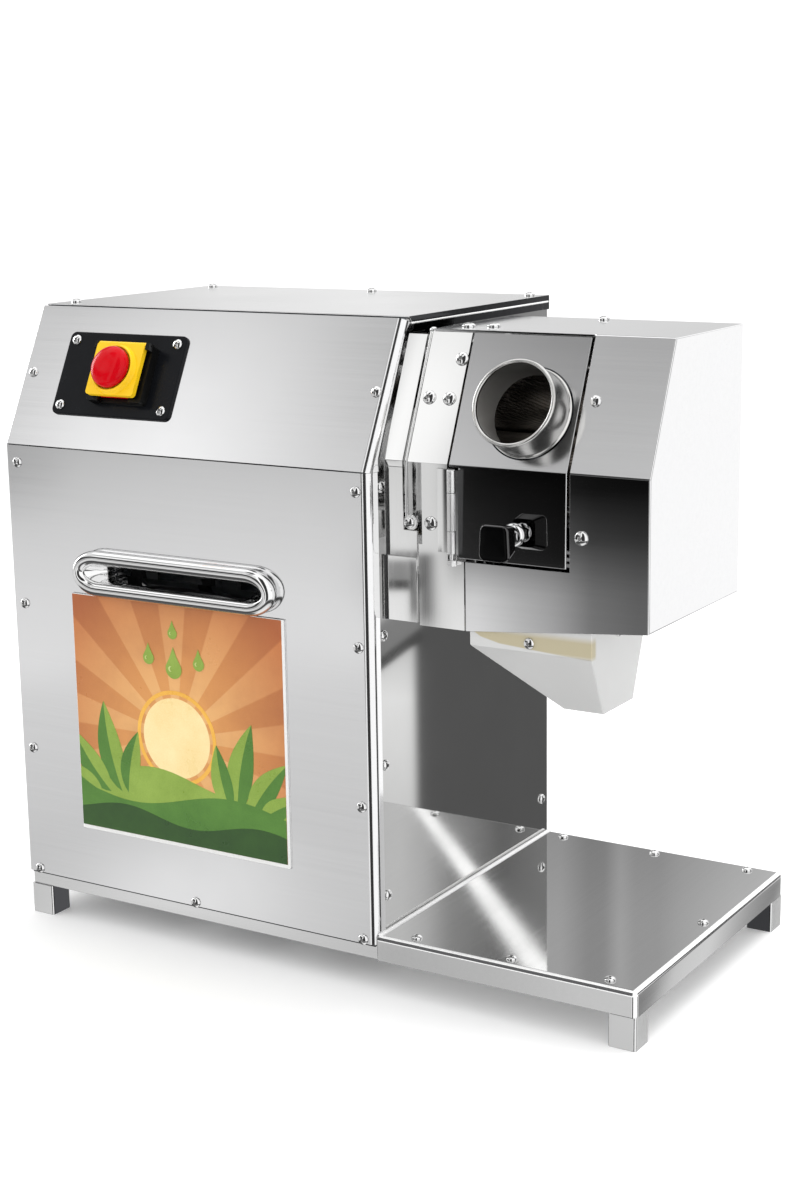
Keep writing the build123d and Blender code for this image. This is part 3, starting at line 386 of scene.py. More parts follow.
for names, key in (
    ("front_panel", "front"),
    ("control_panel", "slope"),
    ("right_side_panel", "wall"),
    ("left_side_panel", "side"),
    ("rear_panel", "plain"),
    ("top_cover", "roof"),
    ("base_deck", "deck"),
    ("base_frame", "plain"),
    ("leg_plugs", "rubber"),
    ("body_frame", "frame"),
    ("head_cover inlet_door", "head"),
    ("left_front_plate wall_bracket profile_strip head_rear_cover", "light"),
    ("juice_tray bagasse_slide turner_plate scraper_blades", "mirror"),
    ("juice_chute", "spout"),
    ("hinge_fixed_leaf hinge_door_leaf latch_bezel latch_stem", "chrome"),
    ("hand_hole_rim", "ring"),
    ("inlet_pipe", "pipe"),
    ("panel_screws head_bolts drive_bolts tie_bolts", "screw"),
    ("tie_sleeves", "machined"),
    ("roller_plate_left roller_plate_right", "plate"),
    ("head_mount_plate", "mount"),
    ("roller_bushes", "bronze"),
    ("top_roller front_roller rear_roller top_pinion front_pinion rear_pinion", "machined"),
    ("gearbox_output_shaft gearbox_input_shaft motor_rotor", "machined"),
    ("gearbox_housing motor_pulley gearbox_pulley", "iron"),
    ("motor_stator motor_bells", "motor"),
    ("drive_belt", "rubber"),
    ("switch_plate", "black_plate"),
    ("switch_base", "grey"),
    ("switch_flap", "yellow"),
    ("estop_button stop_button", "red"),
    ("start_button", "green"),
    ("latch_grip cable_gland", "black"),
    ("front_board", "board"),
):
    for n in names.split():
        assign(n, M[key])


# ------------------------------------------------------------------ mesh helpers
def FX(a, b, c):  # outline in (y, z), along x
    return (c, a, b)


def FY(a, b, c):  # outline in (x, z), along y
    return (a, c, b)


def FZ(a, b, c):  # outline in (x, y), along z
    return (a, b, c)


def FSS(a, b, c):  # outline in (x, height off the control panel), along its slope
    return s_mm(a, c, b)


def FSH(a, b, c):  # outline in (x, distance up the control panel), off it
    return s_mm(a, b, c)


def FHH(a, b, c):  # outline on the head's slope, off it
    return h_mm(a, b, c)


def ext(poly, c0, c1, f):
    """Prism in mm: an outline taken from c0 to c1."""
    n = len(poly)
    v = [f(a, b, c0) for a, b in poly] + [f(a, b, c1) for a, b in poly]
    faces = [tuple(reversed(range(n))), tuple(range(n, 2 * n))]
    faces += [(i, (i + 1) % n, n + (i + 1) % n, n + i) for i in range(n)]
    return v, faces


def rect(a0, a1, b0, b1):
    return [(a0, b0), (a1, b0), (a1, b1), (a0, b1)]


def block(x0, x1, y0, y1, z0, z1):
    return ext(rect(x0, x1, y0, y1), z0, z1, FZ)


def rounded(pts, rad, n=5):
    """Outline with corners turned to arcs: rad is one radius, or {index: radius}."""
    out = []
    k = len(pts)
    for i, p in enumerate(pts):
        r = rad.get(i, 0) if isinstance(rad, dict) else rad
        p = Vector(p)
        if r <= 0:
            out.append(tuple(p))
            continue
        u = (Vector(pts[i - 1]) - p).normalized()
        v = (Vector(pts[(i + 1) % k]) - p).normalized()
        half = u.angle(v) / 2
        t = r / math.tan(half)
        c = p + (u + v).normalized() * (r / math.sin(half))
        a, b = p + u * t - c, p + v * t - c
        a0 = math.atan2(a.y, a.x)
        da = (math.atan2(b.y, b.x) - a0 + math.pi) % (2 * math.pi) - math.pi
        for j in range(n + 1):
            w = a0 + da * j / n
            out.append((c.x + r * math.cos(w), c.y + r * math.sin(w)))
    return out


def join(parts):
    verts, faces = [], []
    for v, f in parts:
        k = len(verts)
        verts += list(v)
        faces += [tuple(i + k for i in q) for q in f]
    return verts, faces


def boolean(base, tools, op="DIFFERENCE"):
    """Cuts or joins closed meshes (mm)."""
    obs = []
    for g in [base] + list(tools):
        me = bpy.data.meshes.new("tmp")
        me.from_pydata([tuple(v) for v in g[0]], [], g[1])
        bm = bmesh.new()
        bm.from_mesh(me)
        bmesh.ops.recalc_face_normals(bm, faces=bm.faces)
        bm.to_mesh(me)
        bm.free()
        o = bpy.data.objects.new("tmp", me)
        bpy.context.scene.collection.objects.link(o)
        obs.append(o)
    for t in obs[1:]:
        md = obs[0].modifiers.new("cut", "BOOLEAN")
        md.operation = op
        md.solver = "EXACT"
        md.object = t
    bpy.context.view_layer.update()
    dg = bpy.context.evaluated_depsgraph_get()
    me = bpy.data.meshes.new_from_object(obs[0].evaluated_get(dg))
    geo = ([tuple(v.co) for v in me.vertices], [tuple(p.vertices) for p in me.polygons])
    bpy.data.meshes.remove(me)
    for o in obs:
        m = o.data
        bpy.data.objects.remove(o)
        bpy.data.meshes.remove(m)
    return geo


def bevel(bm, pred, w, seg):
    es = []
    for e in bm.edges:
        if len(e.link_faces) != 2 or e.calc_face_angle(0) < math.radians(21):
            continue
        a, b = e.verts[0].co, e.verts[1].co
        if pred is None or pred((a + b) / 2, (b - a).normalized()):
            es.append(e)
    if es:
        bmesh.ops.bevel(
            bm,
            geom=es,
            offset=w,
            segments=seg,
            profile=0.5,
            affect="EDGES",
            clamp_overlap=True,
        )


def piece(name, geos, body, mat, node=None, bev=((None, 0.4, 2),), mats=None, pick=None):
    """A finished object from closed meshes in mm: edges rounded, normals weighted."""
    whole = bmesh.new()
    for v, f in geos:
        bm = bmesh.new()
        vs = [bm.verts.new(p) for p in v]
        for q in f:
            try:
                bm.faces.new([vs[i] for i in q])
            except ValueError:
                pass
        bmesh.ops.remove_doubles(bm, verts=bm.verts, dist=1e-4)
        bmesh.ops.dissolve_degenerate(bm, edges=bm.edges, dist=1e-4)
        bmesh.ops.recalc_face_normals(bm, faces=bm.faces)
        for pred, w, seg in bev:
            bevel(bm, pred, w, seg)
        tmp = bpy.data.meshes.new("tmp")
        bm.to_mesh(tmp)
        bm.free()
        whole.from_mesh(tmp)
        bpy.data.meshes.remove(tmp)
    for f in whole.faces:
        f.smooth = True
        if pick:
            f.material_index = pick(f.calc_center_median(), f.normal)
    for e in whole.edges:
        if len(e.link_faces) == 2:
            e.smooth = e.calc_face_angle(0) < math.radians(40)
    for vt in whole.verts:
        vt.co = W(*vt.co)
    me = bpy.data.meshes.new(name)
    whole.to_mesh(me)
    whole.free()
    for mm in mats or [mat]:
        me.materials.append(mm)
    o = bpy.data.objects.new(name, me)
    bpy.context.scene.collection.objects.link(o)
    md = o.modifiers.new("normals", "WEIGHTED_NORMAL")
    md.keep_sharp = True
    md.weight = 100
    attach(o, body)
    if node:
        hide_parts(node)
    return o


def make(name, verts, faces, body, mat, smooth=True, mats=None, idx=None):
    me = bpy.data.meshes.new(name)
    me.from_pydata([tuple(v) for v in verts], [], faces)
    me.update()
    o = bpy.data.objects.new(name, me)
    bpy.context.scene.collection.objects.link(o)
    for mm in mats or [mat]:
        me.materials.append(mm)
    if idx:
        me.polygons.foreach_set("material_index", idx)
    if smooth:
        me.polygons.foreach_set("use_smooth", [True] * len(me.polygons))
    bm = bmesh.new()
    bm.from_mesh(me)
    bmesh.ops.remove_doubles(bm, verts=bm.verts, dist=1e-7)
    bmesh.ops.recalc_face_normals(bm, faces=bm.faces)
    bm.to_mesh(me)
    bm.free()
    me.update()
    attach(o, body)
    return o


def sharp(o, angle=30):
    """Marks edges over an angle as sharp so that flat faces stay flat."""
    me = o.data
    bm = bmesh.new()
    bm.from_mesh(me)
    for e in bm.edges:
        if len(e.link_faces) == 2:
            e.smooth = e.calc_face_angle(0) < math.radians(angle)
    bm.to_mesh(me)
    bm.free()
    return o


def lathe_geo(prof, m, segs, closed=True):
    """(r, h) in mm turned about the local z axis of m."""
    verts, faces = [], []
    rows = []
    for r, h in prof:
        if r < 1e-6:
            rows.append([len(verts)])
            verts.append(m @ Vector((0, 0, h * MM)))
        else:
            row = []
            for k in range(segs):
                a = 2 * math.pi * k / segs
                row.append(len(verts))
                verts.append(m @ Vector((r * MM * math.cos(a), r * MM * math.sin(a), h * MM)))
            rows.append(row)
    pairs = list(zip(rows, rows[1:]))
    if closed and len(rows[0]) > 1 and len(rows[-1]) > 1:
        pairs.append((rows[-1], rows[0]))
    for a, b in pairs:
        for k in range(segs):
            k2 = (k + 1) % segs
            if len(a) == 1 and len(b) == 1:
                continue
            if len(a) == 1:
                faces.append((a[0], b[k2], b[k]))
            elif len(b) == 1:
                faces.append((a[k], a[k2], b[0]))
            else:
                faces.append((a[k], a[k2], b[k2], b[k]))
    return verts, faces


def lathe(name, prof, m, body, mat, segs=96, closed=True, crease=38):
    v, f = lathe_geo(prof, m, segs, closed)
    return sharp(make(name, v, f, body, mat), crease)


def arc(cx, cy, r, a0, a1, n):
    return [
        (
            cx + r * math.cos(math.radians(a0 + (a1 - a0) * i / n)),
            cy + r * math.sin(math.radians(a0 + (a1 - a0) * i / n)),
        )
        for i in range(n + 1)
    ]


def disc(cx, cy, r, n=48):
    return [
        (cx + r * math.cos(2 * math.pi * i / n), cy + r * math.sin(2 * math.pi * i / n))
        for i in range(n)
    ]


def along_x(m, d):
    return abs(d.x) > 0.9


# ------------------------------------------------------------------ casing
hat = [
    (-421.5, 14.0),
    (-421.5, 0.0),
    (1.5, 0.0),
    (2.1, 14.0),
    (0.6, 14.0),
    (0.0, 2.0),
    (-420.0, 2.0),
    (-420.0, 14.0),
]
fold = {1: 2.2, 2: 8.8, 5: 7.2}
front = ext(rounded(hat, fold, 12), 45.0, 486.8, FZ)
# a dark strip under the front panel's lower edge stands in for the shadow line above the rail
gap_shade_strip = block(-418.0, -1.0, 0.7, 1.9, 43.5, 45.4)
oval = []
for sgn, a0 in ((1, -90), (-1, 90)):
    oval += arc(-217.0 + sgn * 97.0, 369.0, 10.0, a0, a0 + 180, 16)
front = boolean(front, [ext(oval, -5, 8, FY), block(0.0, 4.0, -1.0, 15.0, 40.0, 55.2)])
piece(
    "front_panel_sheet",
    [front, gap_shade_strip],
    "frame",
    M["front"],
    "front_panel",
    ((None, 0.5, 2),),
    [M["front"], M["shade"]],
    # the strip and the underside of the panel's lower edge take painted shade
    lambda c, nrm: 1 if c.z < 44.9 or (c.z < 45.6 and nrm.z < -0.3) else 0,
)

lid = [(a, -b) for a, b in hat]
lid = [(a, b - 2.0 if b < -10 else b) for a, b in lid]
ctrl = ext(rounded(lid, fold, 12), 0.0, sl - 1.3, FSS)
ctrl = boolean(ctrl, [block(-430, 10, -20, 40, 440, 487.0)])
piece("control_panel_sheet", [ctrl], "frame", M["slope"], "control_panel", ((None, 0.45, 2),))

roof = block(-421.5, 1.5, 68.6, 343.5, 605.0, 619.0)
roof = boolean(
    roof,
    [
        block(-420.0, 0.0, 50.0, 342.0, 590.0, 617.0),
        ext(rect(-440, 20, sl - 40.0, sl + 2.0), -18.0, 10.0, FSH),
        block(0.2, 5.0, 40.0, 330.0, 600.0, 612.6),
    ],
)


def roof_edge(m, d):
    return m.z > 618.9 or (m.z > 603 and abs(d.z) > 0.9 and m.y > 300)


piece(
    "top_cover_sheet",
    [roof],
    "frame",
    M["roof"],
    "top_cover",
    ((lambda m, d: roof_edge(m, d) and abs(d.x) > 0.9 and m.y < 75, 3.6, 6), (roof_edge, 2.4, 5), (None, 0.4, 2)),
    [M["roof"], M["shade"]],
    # the roof's right-facing faces take painted shade
    lambda c, nrm: 1 if nrm.x > 0.5 else 0,
)
# thin half-round hem under the roof flange, carrying a painted highlight line
roof_hem = ext(
    [(1.1 + 1.1 * math.cos(math.pi * (k / 5 - 0.5)), 612.7 + 1.0 * math.sin(math.pi * (k / 5 - 0.5))) for k in range(6)],
    76.0,
    341.0,
    FY,
)
piece("roof_flange_hem", [roof_hem], "frame", M["seam"], None, ())


def slope_y(z):
    return 2.0 * ST.z + (z - (488.0 - 2.0 * ST.y)) * ST.y / ST.z


def slope_z(y):
    return 488.0 - 2.0 * ST.y + (y - 2.0 * ST.z) * ST.z / ST.y


side = [(7.0, 53.0), (342.0, 53.0), (342.0, 617.0), (slope_y(617.0) + 5.6, 617.0), (7.0, slope_z(1.4))]
wall = ext(side, -2.0, 0.0, FX)
wall = boolean(wall, [ext(disc(109.9, 547.1, 30.0), -9.0, 5.0, FX)])
piece("right_side_sheet", [wall], "frame", M["wall"], "right_side_panel", ((None, 0.4, 2),))


def slots(spans, zs, f, c0, c1):
    return join(
        [
            ext(rounded(rect(a, b, z, z + 5.0), 2.4, 6), c0, c1, f)
            for a, b in spans
            for z in zs
        ]
    )


lside = [(a, 45.0 if b < 60 else b) for a, b in side]
left = boolean(
    ext(lside, -420.0, -418.0, FX),
    [
        slots(
            ((75.0, 145.0), (235.0, 305.0)), [120.0 + 16 * i for i in range(9)], FX, -425.0, -410.0
        )
    ],
)
piece("left_side_sheet", [left], "frame", M["side"], "left_side_panel", ((None, 0.4, 2),))
rear = boolean(
    block(-418.0, -2.0, 340.0, 342.0, 45.0, 617.0),
    [
        slots(
            ((-350.0, -270.0), (-250.0, -170.0)),
            [400.0 + 16 * i for i in range(8)],
            FY,
            335.0,
            350.0,
        ),
        ext(disc(-60.0, 120.0, 9.0, 32), 335.0, 350.0, FY),
    ],
)
piece("rear_sheet", [rear], "frame", M["plain"], "rear_panel", ((None, 0.4, 2),))

deck = boolean(block(1.7, 264.0, 0.0, 342.0, 31.0, 55.0), [block(0.0, 262.0, 2.0, 340.0, 20.0, 53.0)])
hem = ext(
    [(2.7 + 2.3 * math.cos(math.pi * k / 10), 54.9 + 1.9 * math.sin(math.pi * k / 10)) for k in range(11)],
    3.0,
    339.0,
    FY,
)


def deck_outer(m, d):
    outer = m.y < 0.1 or m.y > 341.9 or m.x > 263.9
    return (m.z > 54.9 and outer) or (abs(d.z) > 0.9 and outer and m.x > 200)


def deck_low(m, d):
    return m.z < 31.1 and (m.y < 0.1 or m.x > 263.9) and abs(d.z) < 0.1


def deck_pick(c, nrm):
    """Rolled edges: the crown carries a painted highlight, the turn into the skirt and the skirt's bottom edge carry
    painted shade.
    """
    if c.z < 32.6 and nrm.z < -0.1:
        return 1
    corner = 0
    if c.x > 255.0 and c.y < 6.0 and nrm.y < -0.05 and nrm.x > 0.05:
        turn = math.degrees(math.atan2(nrm.x, -nrm.y))
        corner = 3 if 8 < turn < 24 else 2 if 24 < turn < 68 else 0
    if c.z < 50.0:
        return corner
    side = nrm.x if abs(nrm.y) < 0.2 else -nrm.y if abs(nrm.x) < 0.2 else 0.0
    if side < 0.03 or nrm.z < 0.03 or not (c.y < 5.0 or c.x > 259.0):
        return 2 if nrm.y < -0.2 and nrm.x > 0.2 and c.x > 257.0 else 0
    th = math.degrees(math.atan2(side, nrm.z))
    if abs(nrm.y) < 0.2:
        return 2 if th < 58 else 1 if th < 70 else 0
    return 3 if th < 15 or 48 < th < 82 else 2


piece(
    "deck_sheet",
    [deck],
    "frame",
    M["deck"],
    "base_deck",
    ((deck_outer, 4.6, 8), (deck_low, 1.3, 5), (None, 0.5, 2)),
    [M["deck"], M["shade"], M["seam"], M["dim"]],
    deck_pick,
)
# a thin hem along the deck's joint with the wall, carrying a painted highlight line
piece("deck_seam", [hem], "frame", M["seam"], None, ())

rail = boolean(
    block(-418.0, 262.0, 2.0, 340.0, 31.0, 53.0),
    [
        block(-415.0, 259.0, 5.0, 337.0, 34.0, 50.0),
        block(-393.0, 237.0, 27.0, 315.0, 20.0, 60.0),
        block(0.2, 1.7, 1.0, 4.6, 20.0, 60.0),
    ],
)
base = [rail]
for x0, x1, z0, z1 in (
    (-27.0, -2.0, 50.0, 53.0),
    (-5.0, -2.0, 31.0, 50.0),
    (-240.0, -215.0, 50.0, 53.0),
    (-240.0, -237.0, 31.0, 50.0),
    (-125.0, -100.0, 50.0, 53.0),
    (-125.0, -122.0, 31.0, 50.0),
):
    base.append(block(x0, x1, 27.0, 315.0, z0, z1))
for x in (-420.0, 237.0):
    for y in (0.0, 315.0):
        tube = ext(rounded(rect(x, x + 27.0, y, y + 27.0), 2.6, 6), 0.0, 31.0, FZ)
        hole = ext(rounded(rect(x + 3, x + 24.0, y + 3, y + 24.0), 1.2, 6), -5.0, 29.0, FZ)
        base.append(boolean(tube, [hole]))
piece(
    "base_frame_rails",
    base,
    "frame",
    None,
    "base_frame",
    ((None, 0.4, 2),),
    [M["plain"], M["shade"]],
    # the left legs' right faces and the rear legs' front faces take painted shade
    lambda c, nrm: 1 if c.z < 30.9 and ((nrm.x > 0.8 and c.x < 0) or (nrm.y < -0.8 and c.y > 300)) else 0,
)

# ------------------------------------------------------------------ head
VIN = 497.9 - 2.0 * HT.y + (2.0 - 2.0 * HT.z) * HT.z / HT.y
TIN = 66.2 + 2.0 * (1 - HT.y) / HT.z


def bottom_z(x):
    return 351.0 + (x - 88.0) * 16.0 / 176.0


outer = [(17.8, 340.0), (17.8, 497.9), (66.2, 609.8), (210.0, 609.8), (210.0, 340.0)]
inner = [(19.8, 330.0), (19.8, VIN), (TIN, 607.8), (220.0, 607.8), (220.0, 330.0)]
cover = boolean(ext(outer, 190.0, 264.0, FX), [ext(inner, 180.0, 262.0, FX)])
cover = boolean(
    cover,
    [block(88.5, 190.5, 17.8, 19.8, 340.0, 413.0), block(31.0, 190.5, 66.2, 210.0, 607.8, 609.8)],
    "UNION",
)
low = [(20.0, 300.0), (300.0, 300.0), (300.0, bottom_z(300.0)), (20.0, bottom_z(20.0))]
cover = boolean(cover, [ext(low, -50.0, 400.0, FY)])


def cover_outer(m, d):
    fold = abs(d.x) > 0.9 and m.x > 190 and ((abs(m.z - 497.9) < 0.1 and m.y < 18) or (m.z > 609.7 and abs(m.y - 66.2) < 0.1))
    right = m.x > 263.9 and abs(d.x) < 0.5
    return fold or right


piece(
    "head_cover_sheet",
    [cover],
    "frame",
    M["head"],
    "head_cover",
    ((cover_outer, 1.5, 4), (None, 0.45, 2)),
    [M["head"], M["shade"]],
    # the faces inside the door gap take painted shade
    lambda c, nrm: 1 if (nrm.x < -0.8 and c.x < 190.6) or (nrm.z > 0.8 and 412.0 < c.z < 413.6) else 0,
)

ds1 = hl - 2.6
a1, b1 = h_mm(0, ds1)[1:], h_mm(0, ds1, -2.0)[1:]
TILT = 1.7
door = ext(
    [
        (18.0 - TILT, 415.8),
        (18.0, 497.9),
        (a1[0] + 0.2, a1[1]),
        (b1[0] + 0.2, b1[1]),
        (20.0, VIN),
        (20.0 - TILT, 415.8),
    ],
    73.0,
    187.0,
    FX,
)
door = boolean(
    door,
    [
        ext(disc(141.0, 50.0, 37.0, 96), -8.0, 8.0, FHH),
        block(60.0, 82.4, 0.0, 30.0, 400.0, 496.0),
    ],
)
piece(
    "door_sheet",
    [door],
    "inlet_door",
    M["door"],
    "inlet_door",
    ((lambda m, d: abs(d.x) < 0.5 and m.x > 186 or (m.z < 416.5 and abs(d.x) > 0.9), 0.8, 3), (None, 0.5, 3)),
)

lf = boolean(
    ext(
        [
            (45.0, VIN),
            (71.0, VIN),
            (71.0, 413.0),
            (87.0, 413.0),
            (87.0, 351.3),
            (41.5, 351.3),
            (41.5, 425.0),
            (45.0, 425.0),
        ],
        17.8,
        19.8,
        FY,
    ),
    [
        ext(
            [(17.8, VIN - 0.01), (17.8, 497.9), a1, b1, (19.8, VIN - 0.01)],
            31.0,
            71.0,
            FX,
        )
    ],
    "UNION",
)
piece("left_front_sheet", [lf], "frame", M["light"], "left_front_plate", ((None, 0.5, 3),))

bk = [
    block(1.7, 38.5, 18.0, 20.0, 353.0, 412.0),
    ext([(5.0, 404.0), (38.5, 404.0), (38.5, 436.0), (24.5, 436.0), (24.5, 491.9), (5.0, 491.9)], 20.0, 22.0, FY),
]
c1, c2 = h_mm(0, ds1 - 2.0, -2.2)[1:], h_mm(0, ds1 - 2.0, -4.2)[1:]
bk.append(
    ext([(20.0, 491.9), (20.0, VIN), c1, c2, (22.0, VIN - 0.6), (22.0, 491.9)], 5.0, 24.5, FX)
)
piece("wall_bracket_sheet", bk, "frame", M["light"], "wall_bracket", ((None, 0.4, 2),))

e14 = h_mm(0, ds1, -14.0)[1:]
strip = ext(
    [(17.8, 446.0), (17.8, 497.9), a1, e14, (31.8, 494.9), (31.8, 446.0)], 27.5, 30.2, FX
)
tab = ext(disc(33.0, 443.5, 7.0, 32), 17.8, 19.8, FY)
piece("profile_strip_bar", [strip, tab], "frame", M["light"], "profile_strip", ((None, 0.9, 3),))
lathe(
    "profile_strip_pin",
    [(0.0, -3.0), (2.9, -3.0), (2.9, -0.6)]
    + [(3.7 * math.cos(math.radians(a)), 2.0 + 3.7 * math.sin(math.radians(a))) for a in range(-44, 90, 8)]
    + [(0.0, 5.7)],
    basis(W(*h_mm(28.0, ds1, -5.0)), (1, 0, 0), HT),
    "frame",
    M["chrome"],
    40,
    closed=False,
)

rear_head = boolean(
    ext(
        [(31.0, 351.0), (88.0, 351.0), (262.0, bottom_z(262.0)), (262.0, 607.8), (31.0, 607.8)],
        208.0,
        210.0,
        FY,
    ),
    [ext(rounded(rect(80.0, 182.0, 450.0, 530.0), 4.0, 6), 200.0, 220.0, FY)],
)
piece("head_rear_sheet", [rear_head], "frame", M["head"], "head_rear_cover", ((None, 0.4, 2),))

# spout
lev = [
    ((91.0, 210.0, 20.2, 124.0), 372.0),
    ((91.0, 210.0, 20.2, 124.0), 338.5),
    ((171.0, 210.0, 44.0, 104.0), 285.0),
]
sv, sf = [], []
for d in (0.0, 2.0):
    for (x0, x1, y0, y1), z in lev:
        sv += [(x0 + d, y0 + d, z), (x1 - d, y0 + d, z), (x1 - d, y1 - d, z), (x0 + d, y1 - d, z)]
for i in range(2):
    for k in range(4):
        k2 = (k + 1) % 4
        sf.append((i * 4 + k, i * 4 + k2, i * 4 + 4 + k2, i * 4 + 4 + k))
        sf.append((12 + i * 4 + k2, 12 + i * 4 + k, 12 + i * 4 + 4 + k, 12 + i * 4 + 4 + k2))
for k in range(4):
    k2 = (k + 1) % 4
    sf.append((k2, k, 12 + k, 12 + k2))
    sf.append((8 + k, 8 + k2, 20 + k2, 20 + k))
piece("spout_sheet", [(sv, sf)], "frame", M["spout"], "juice_chute", ((lambda m, d: abs(d.z) > 0.4 or abs(m.z - 338.5) < 0.1, 0.9, 3), (None, 0.5, 2)))

# hinge
HZ = (420.0, 440.0, 474.0, 494.0)
hm = basis(W(77.5, 13.3, 0), (1, 0, 0), (0, 0, 1))


def knuckle(z0, z1):
    return lathe_geo(
        [(1.7, z0), (3.4, z0), (3.8, z0 + 0.4), (3.8, z1 - 0.4), (3.4, z1), (1.7, z1)], hm, 40
    )


def to_m(geo):
    return [W(*p) for p in geo[0]], geo[1]


fixed = [knuckle(HZ[0], HZ[1]), knuckle(HZ[2], HZ[3])]
for z0, z1 in ((HZ[0], HZ[1]), (HZ[2], HZ[3])):
    fixed.append(to_m(block(72.6, 75.5, 15.8, 17.6, z0, z1)))
fixed.append(
    lathe_geo([(0.0, 409.5), (1.6, 410.0), (1.6, 493.6), (0.0, 494.2)], hm, 24, closed=False)
)
nut = [(4.4 * math.cos(math.radians(60 * k)), 4.4 * math.sin(math.radians(60 * k))) for k in range(6)]
fixed.append(to_m(ext([(77.5 + a, 13.3 + b) for a, b in nut], 409.5, 414.5, FZ)))
v, f = join(fixed)
sharp(make("hinge_fixed_barrel", v, f, "frame", M["hinge"]), 40)
piece("hinge_fixed", [block(61.5, 72.8, 16.4, 17.8, HZ[0], HZ[3])], "frame", M["light"], "hinge_fixed_leaf", ((None, 0.3, 2),))
v, f = join(
    [
        knuckle(HZ[1] + 0.3, HZ[2] - 0.3),
        to_m(block(82.2, 84.4, 12.8, 18.0, HZ[0], HZ[3])),
        to_m(block(80.0, 82.6, 13.2, 17.2, HZ[1] + 0.3, HZ[2] - 0.3)),
    ]
)
barrel_faces = len(knuckle(0.0, 10.0)[1])
o = make(
    "hinge_moving",
    v,
    f,
    "inlet_door",
    None,
    mats=[M["hinge"], M["door"]],
    idx=[0 if k < barrel_faces else 1 for k in range(len(f))],
)
sharp(o, 40)
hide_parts("hinge_door_leaf")

# latch
LX, LZ = 137.0, 441.5
lm = basis(W(LX, 0.0, LZ), (1, 0, 0), FRONT)  # local z runs out of the door
lathe(
    "latch_rosette",
    [(5.1, -18.0), (10.2, -18.0), (10.2, -15.2), (9.6, -13.6), (8.4, -12.6), (7.0, -12.5), (5.1, -12.5)],
    lm,
    "inlet_door",
    M["chrome"],
    64,
)
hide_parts("latch_bezel")
stem = [
    lathe_geo([(0.0, -25.0), (5.0, -25.0), (5.0, 1.5), (0.0, 1.5)], lm, 48, closed=False),
    lathe_geo(
        [(0.0, -0.7), (7.6, -0.7), (8.2, -0.2), (8.2, 1.1), (7.8, 1.5), (0.0, 1.5)], lm, 64, closed=False
    ),
]
hexv = [(8.0 * math.cos(math.radians(60 * k + 30)), 8.0 * math.sin(math.radians(60 * k + 30))) for k in range(6)]
stem.append(to_m(ext([(LX + a, LZ + b) for a, b in hexv], 0.5, 10.5, FY)))
stem.append(to_m(ext(rounded(rect(LX - 45.0, LX, LZ - 7.0, LZ + 7.0), {0: 4.0, 3: 4.0}, 6), 21.2, 24.6, FY)))
stem.append(to_m(ext(disc(LX, LZ, 9.0, 40), 21.1, 24.7, FY)))
v, f = join(stem)
o = sharp(make("latch_shaft", v, f, "door_latch", M["chrome"]), 40)
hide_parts("latch_stem")


def grip_row(y, k):
    """Outline of the grip across its axis, k running from the stem to the free end."""
    w0, w1 = 11.4 + 3.4 * k, 10.8 + 2.6 * k
    h0, h1 = 13.0 + 4.5 * k, 11.6 + 2.4 * k
    pts = [(LX - w0, LZ - h0), (LX + w0, LZ - h0), (LX + w1, LZ + h1), (LX - w1, LZ + h1)]
    return rounded(pts, 4.6 + 1.0 * k, 8), y


rows = []
for t in range(0, 9):
    k = t / 8
    rows.append(grip_row(-1.5 - 15.8 * k, k))
gv, gf = [], []
cx, cz = LX, LZ


def shrink(pts, d):
    c = Vector((cx, cz - 1.0))
    out = []
    for p in pts:
        q = Vector(p) - c
        out.append(tuple(c + q * max(0.0, 1 - d / q.length)))
    return out


body_rows = [(shrink(rows[0][0], 2.0), -1.4), (shrink(rows[0][0], 0.5), -1.45)]
body_rows += [(p, y) for p, y in rows]
last = rows[-1][0]
body_rows += [
    (shrink(last, 0.35), -18.3),
    (shrink(last, 1.2), -19.0),
    (shrink(last, 2.6), -19.4),
    (shrink(last, 6.0), -19.5),
]
n = len(body_rows[0][0])
for pts, y in body_rows:
    gv += [W(a, y, b) for a, b in pts]
for i in range(len(body_rows) - 1):
    for k in range(n):
        k2 = (k + 1) % n
        gf.append((i * n + k, i * n + k2, (i + 1) * n + k2, (i + 1) * n + k))
gf.append(tuple(reversed(range(n))))
gf.append(tuple(range((len(body_rows) - 1) * n, len(body_rows) * n)))
top_row = (len(body_rows) - 5) * n
o = make(
    "latch_knob",
    gv,
    gf,
    "door_latch",
    None,
    mats=[M["knob"], M["edge"]],
    # the rounded rim at the grip's free end takes the glossy lit copy, the rest the shaded copy
    idx=[1 if top_row <= k < top_row + 2 * n else 0 for k in range(len(gf))],
)
sharp(o, 60)
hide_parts("latch_grip")

# ------------------------------------------------------------------ switch
SWX, SWS = -292.0, 75.0
plate = ext(rounded(rect(-372.5, -229.5, 33.5, 118.5), 6.5, 8), 0.0, 3.0, FSH)
plate = boolean(plate, [ext(rect(SWX - 22.5, SWX + 22.5, SWS - 19.5, SWS + 19.5), -5.0, 10.0, FSH)])


def slope_h(p):
    return (Vector(p) - Vector((0, 0, 488.0))).dot(SN)


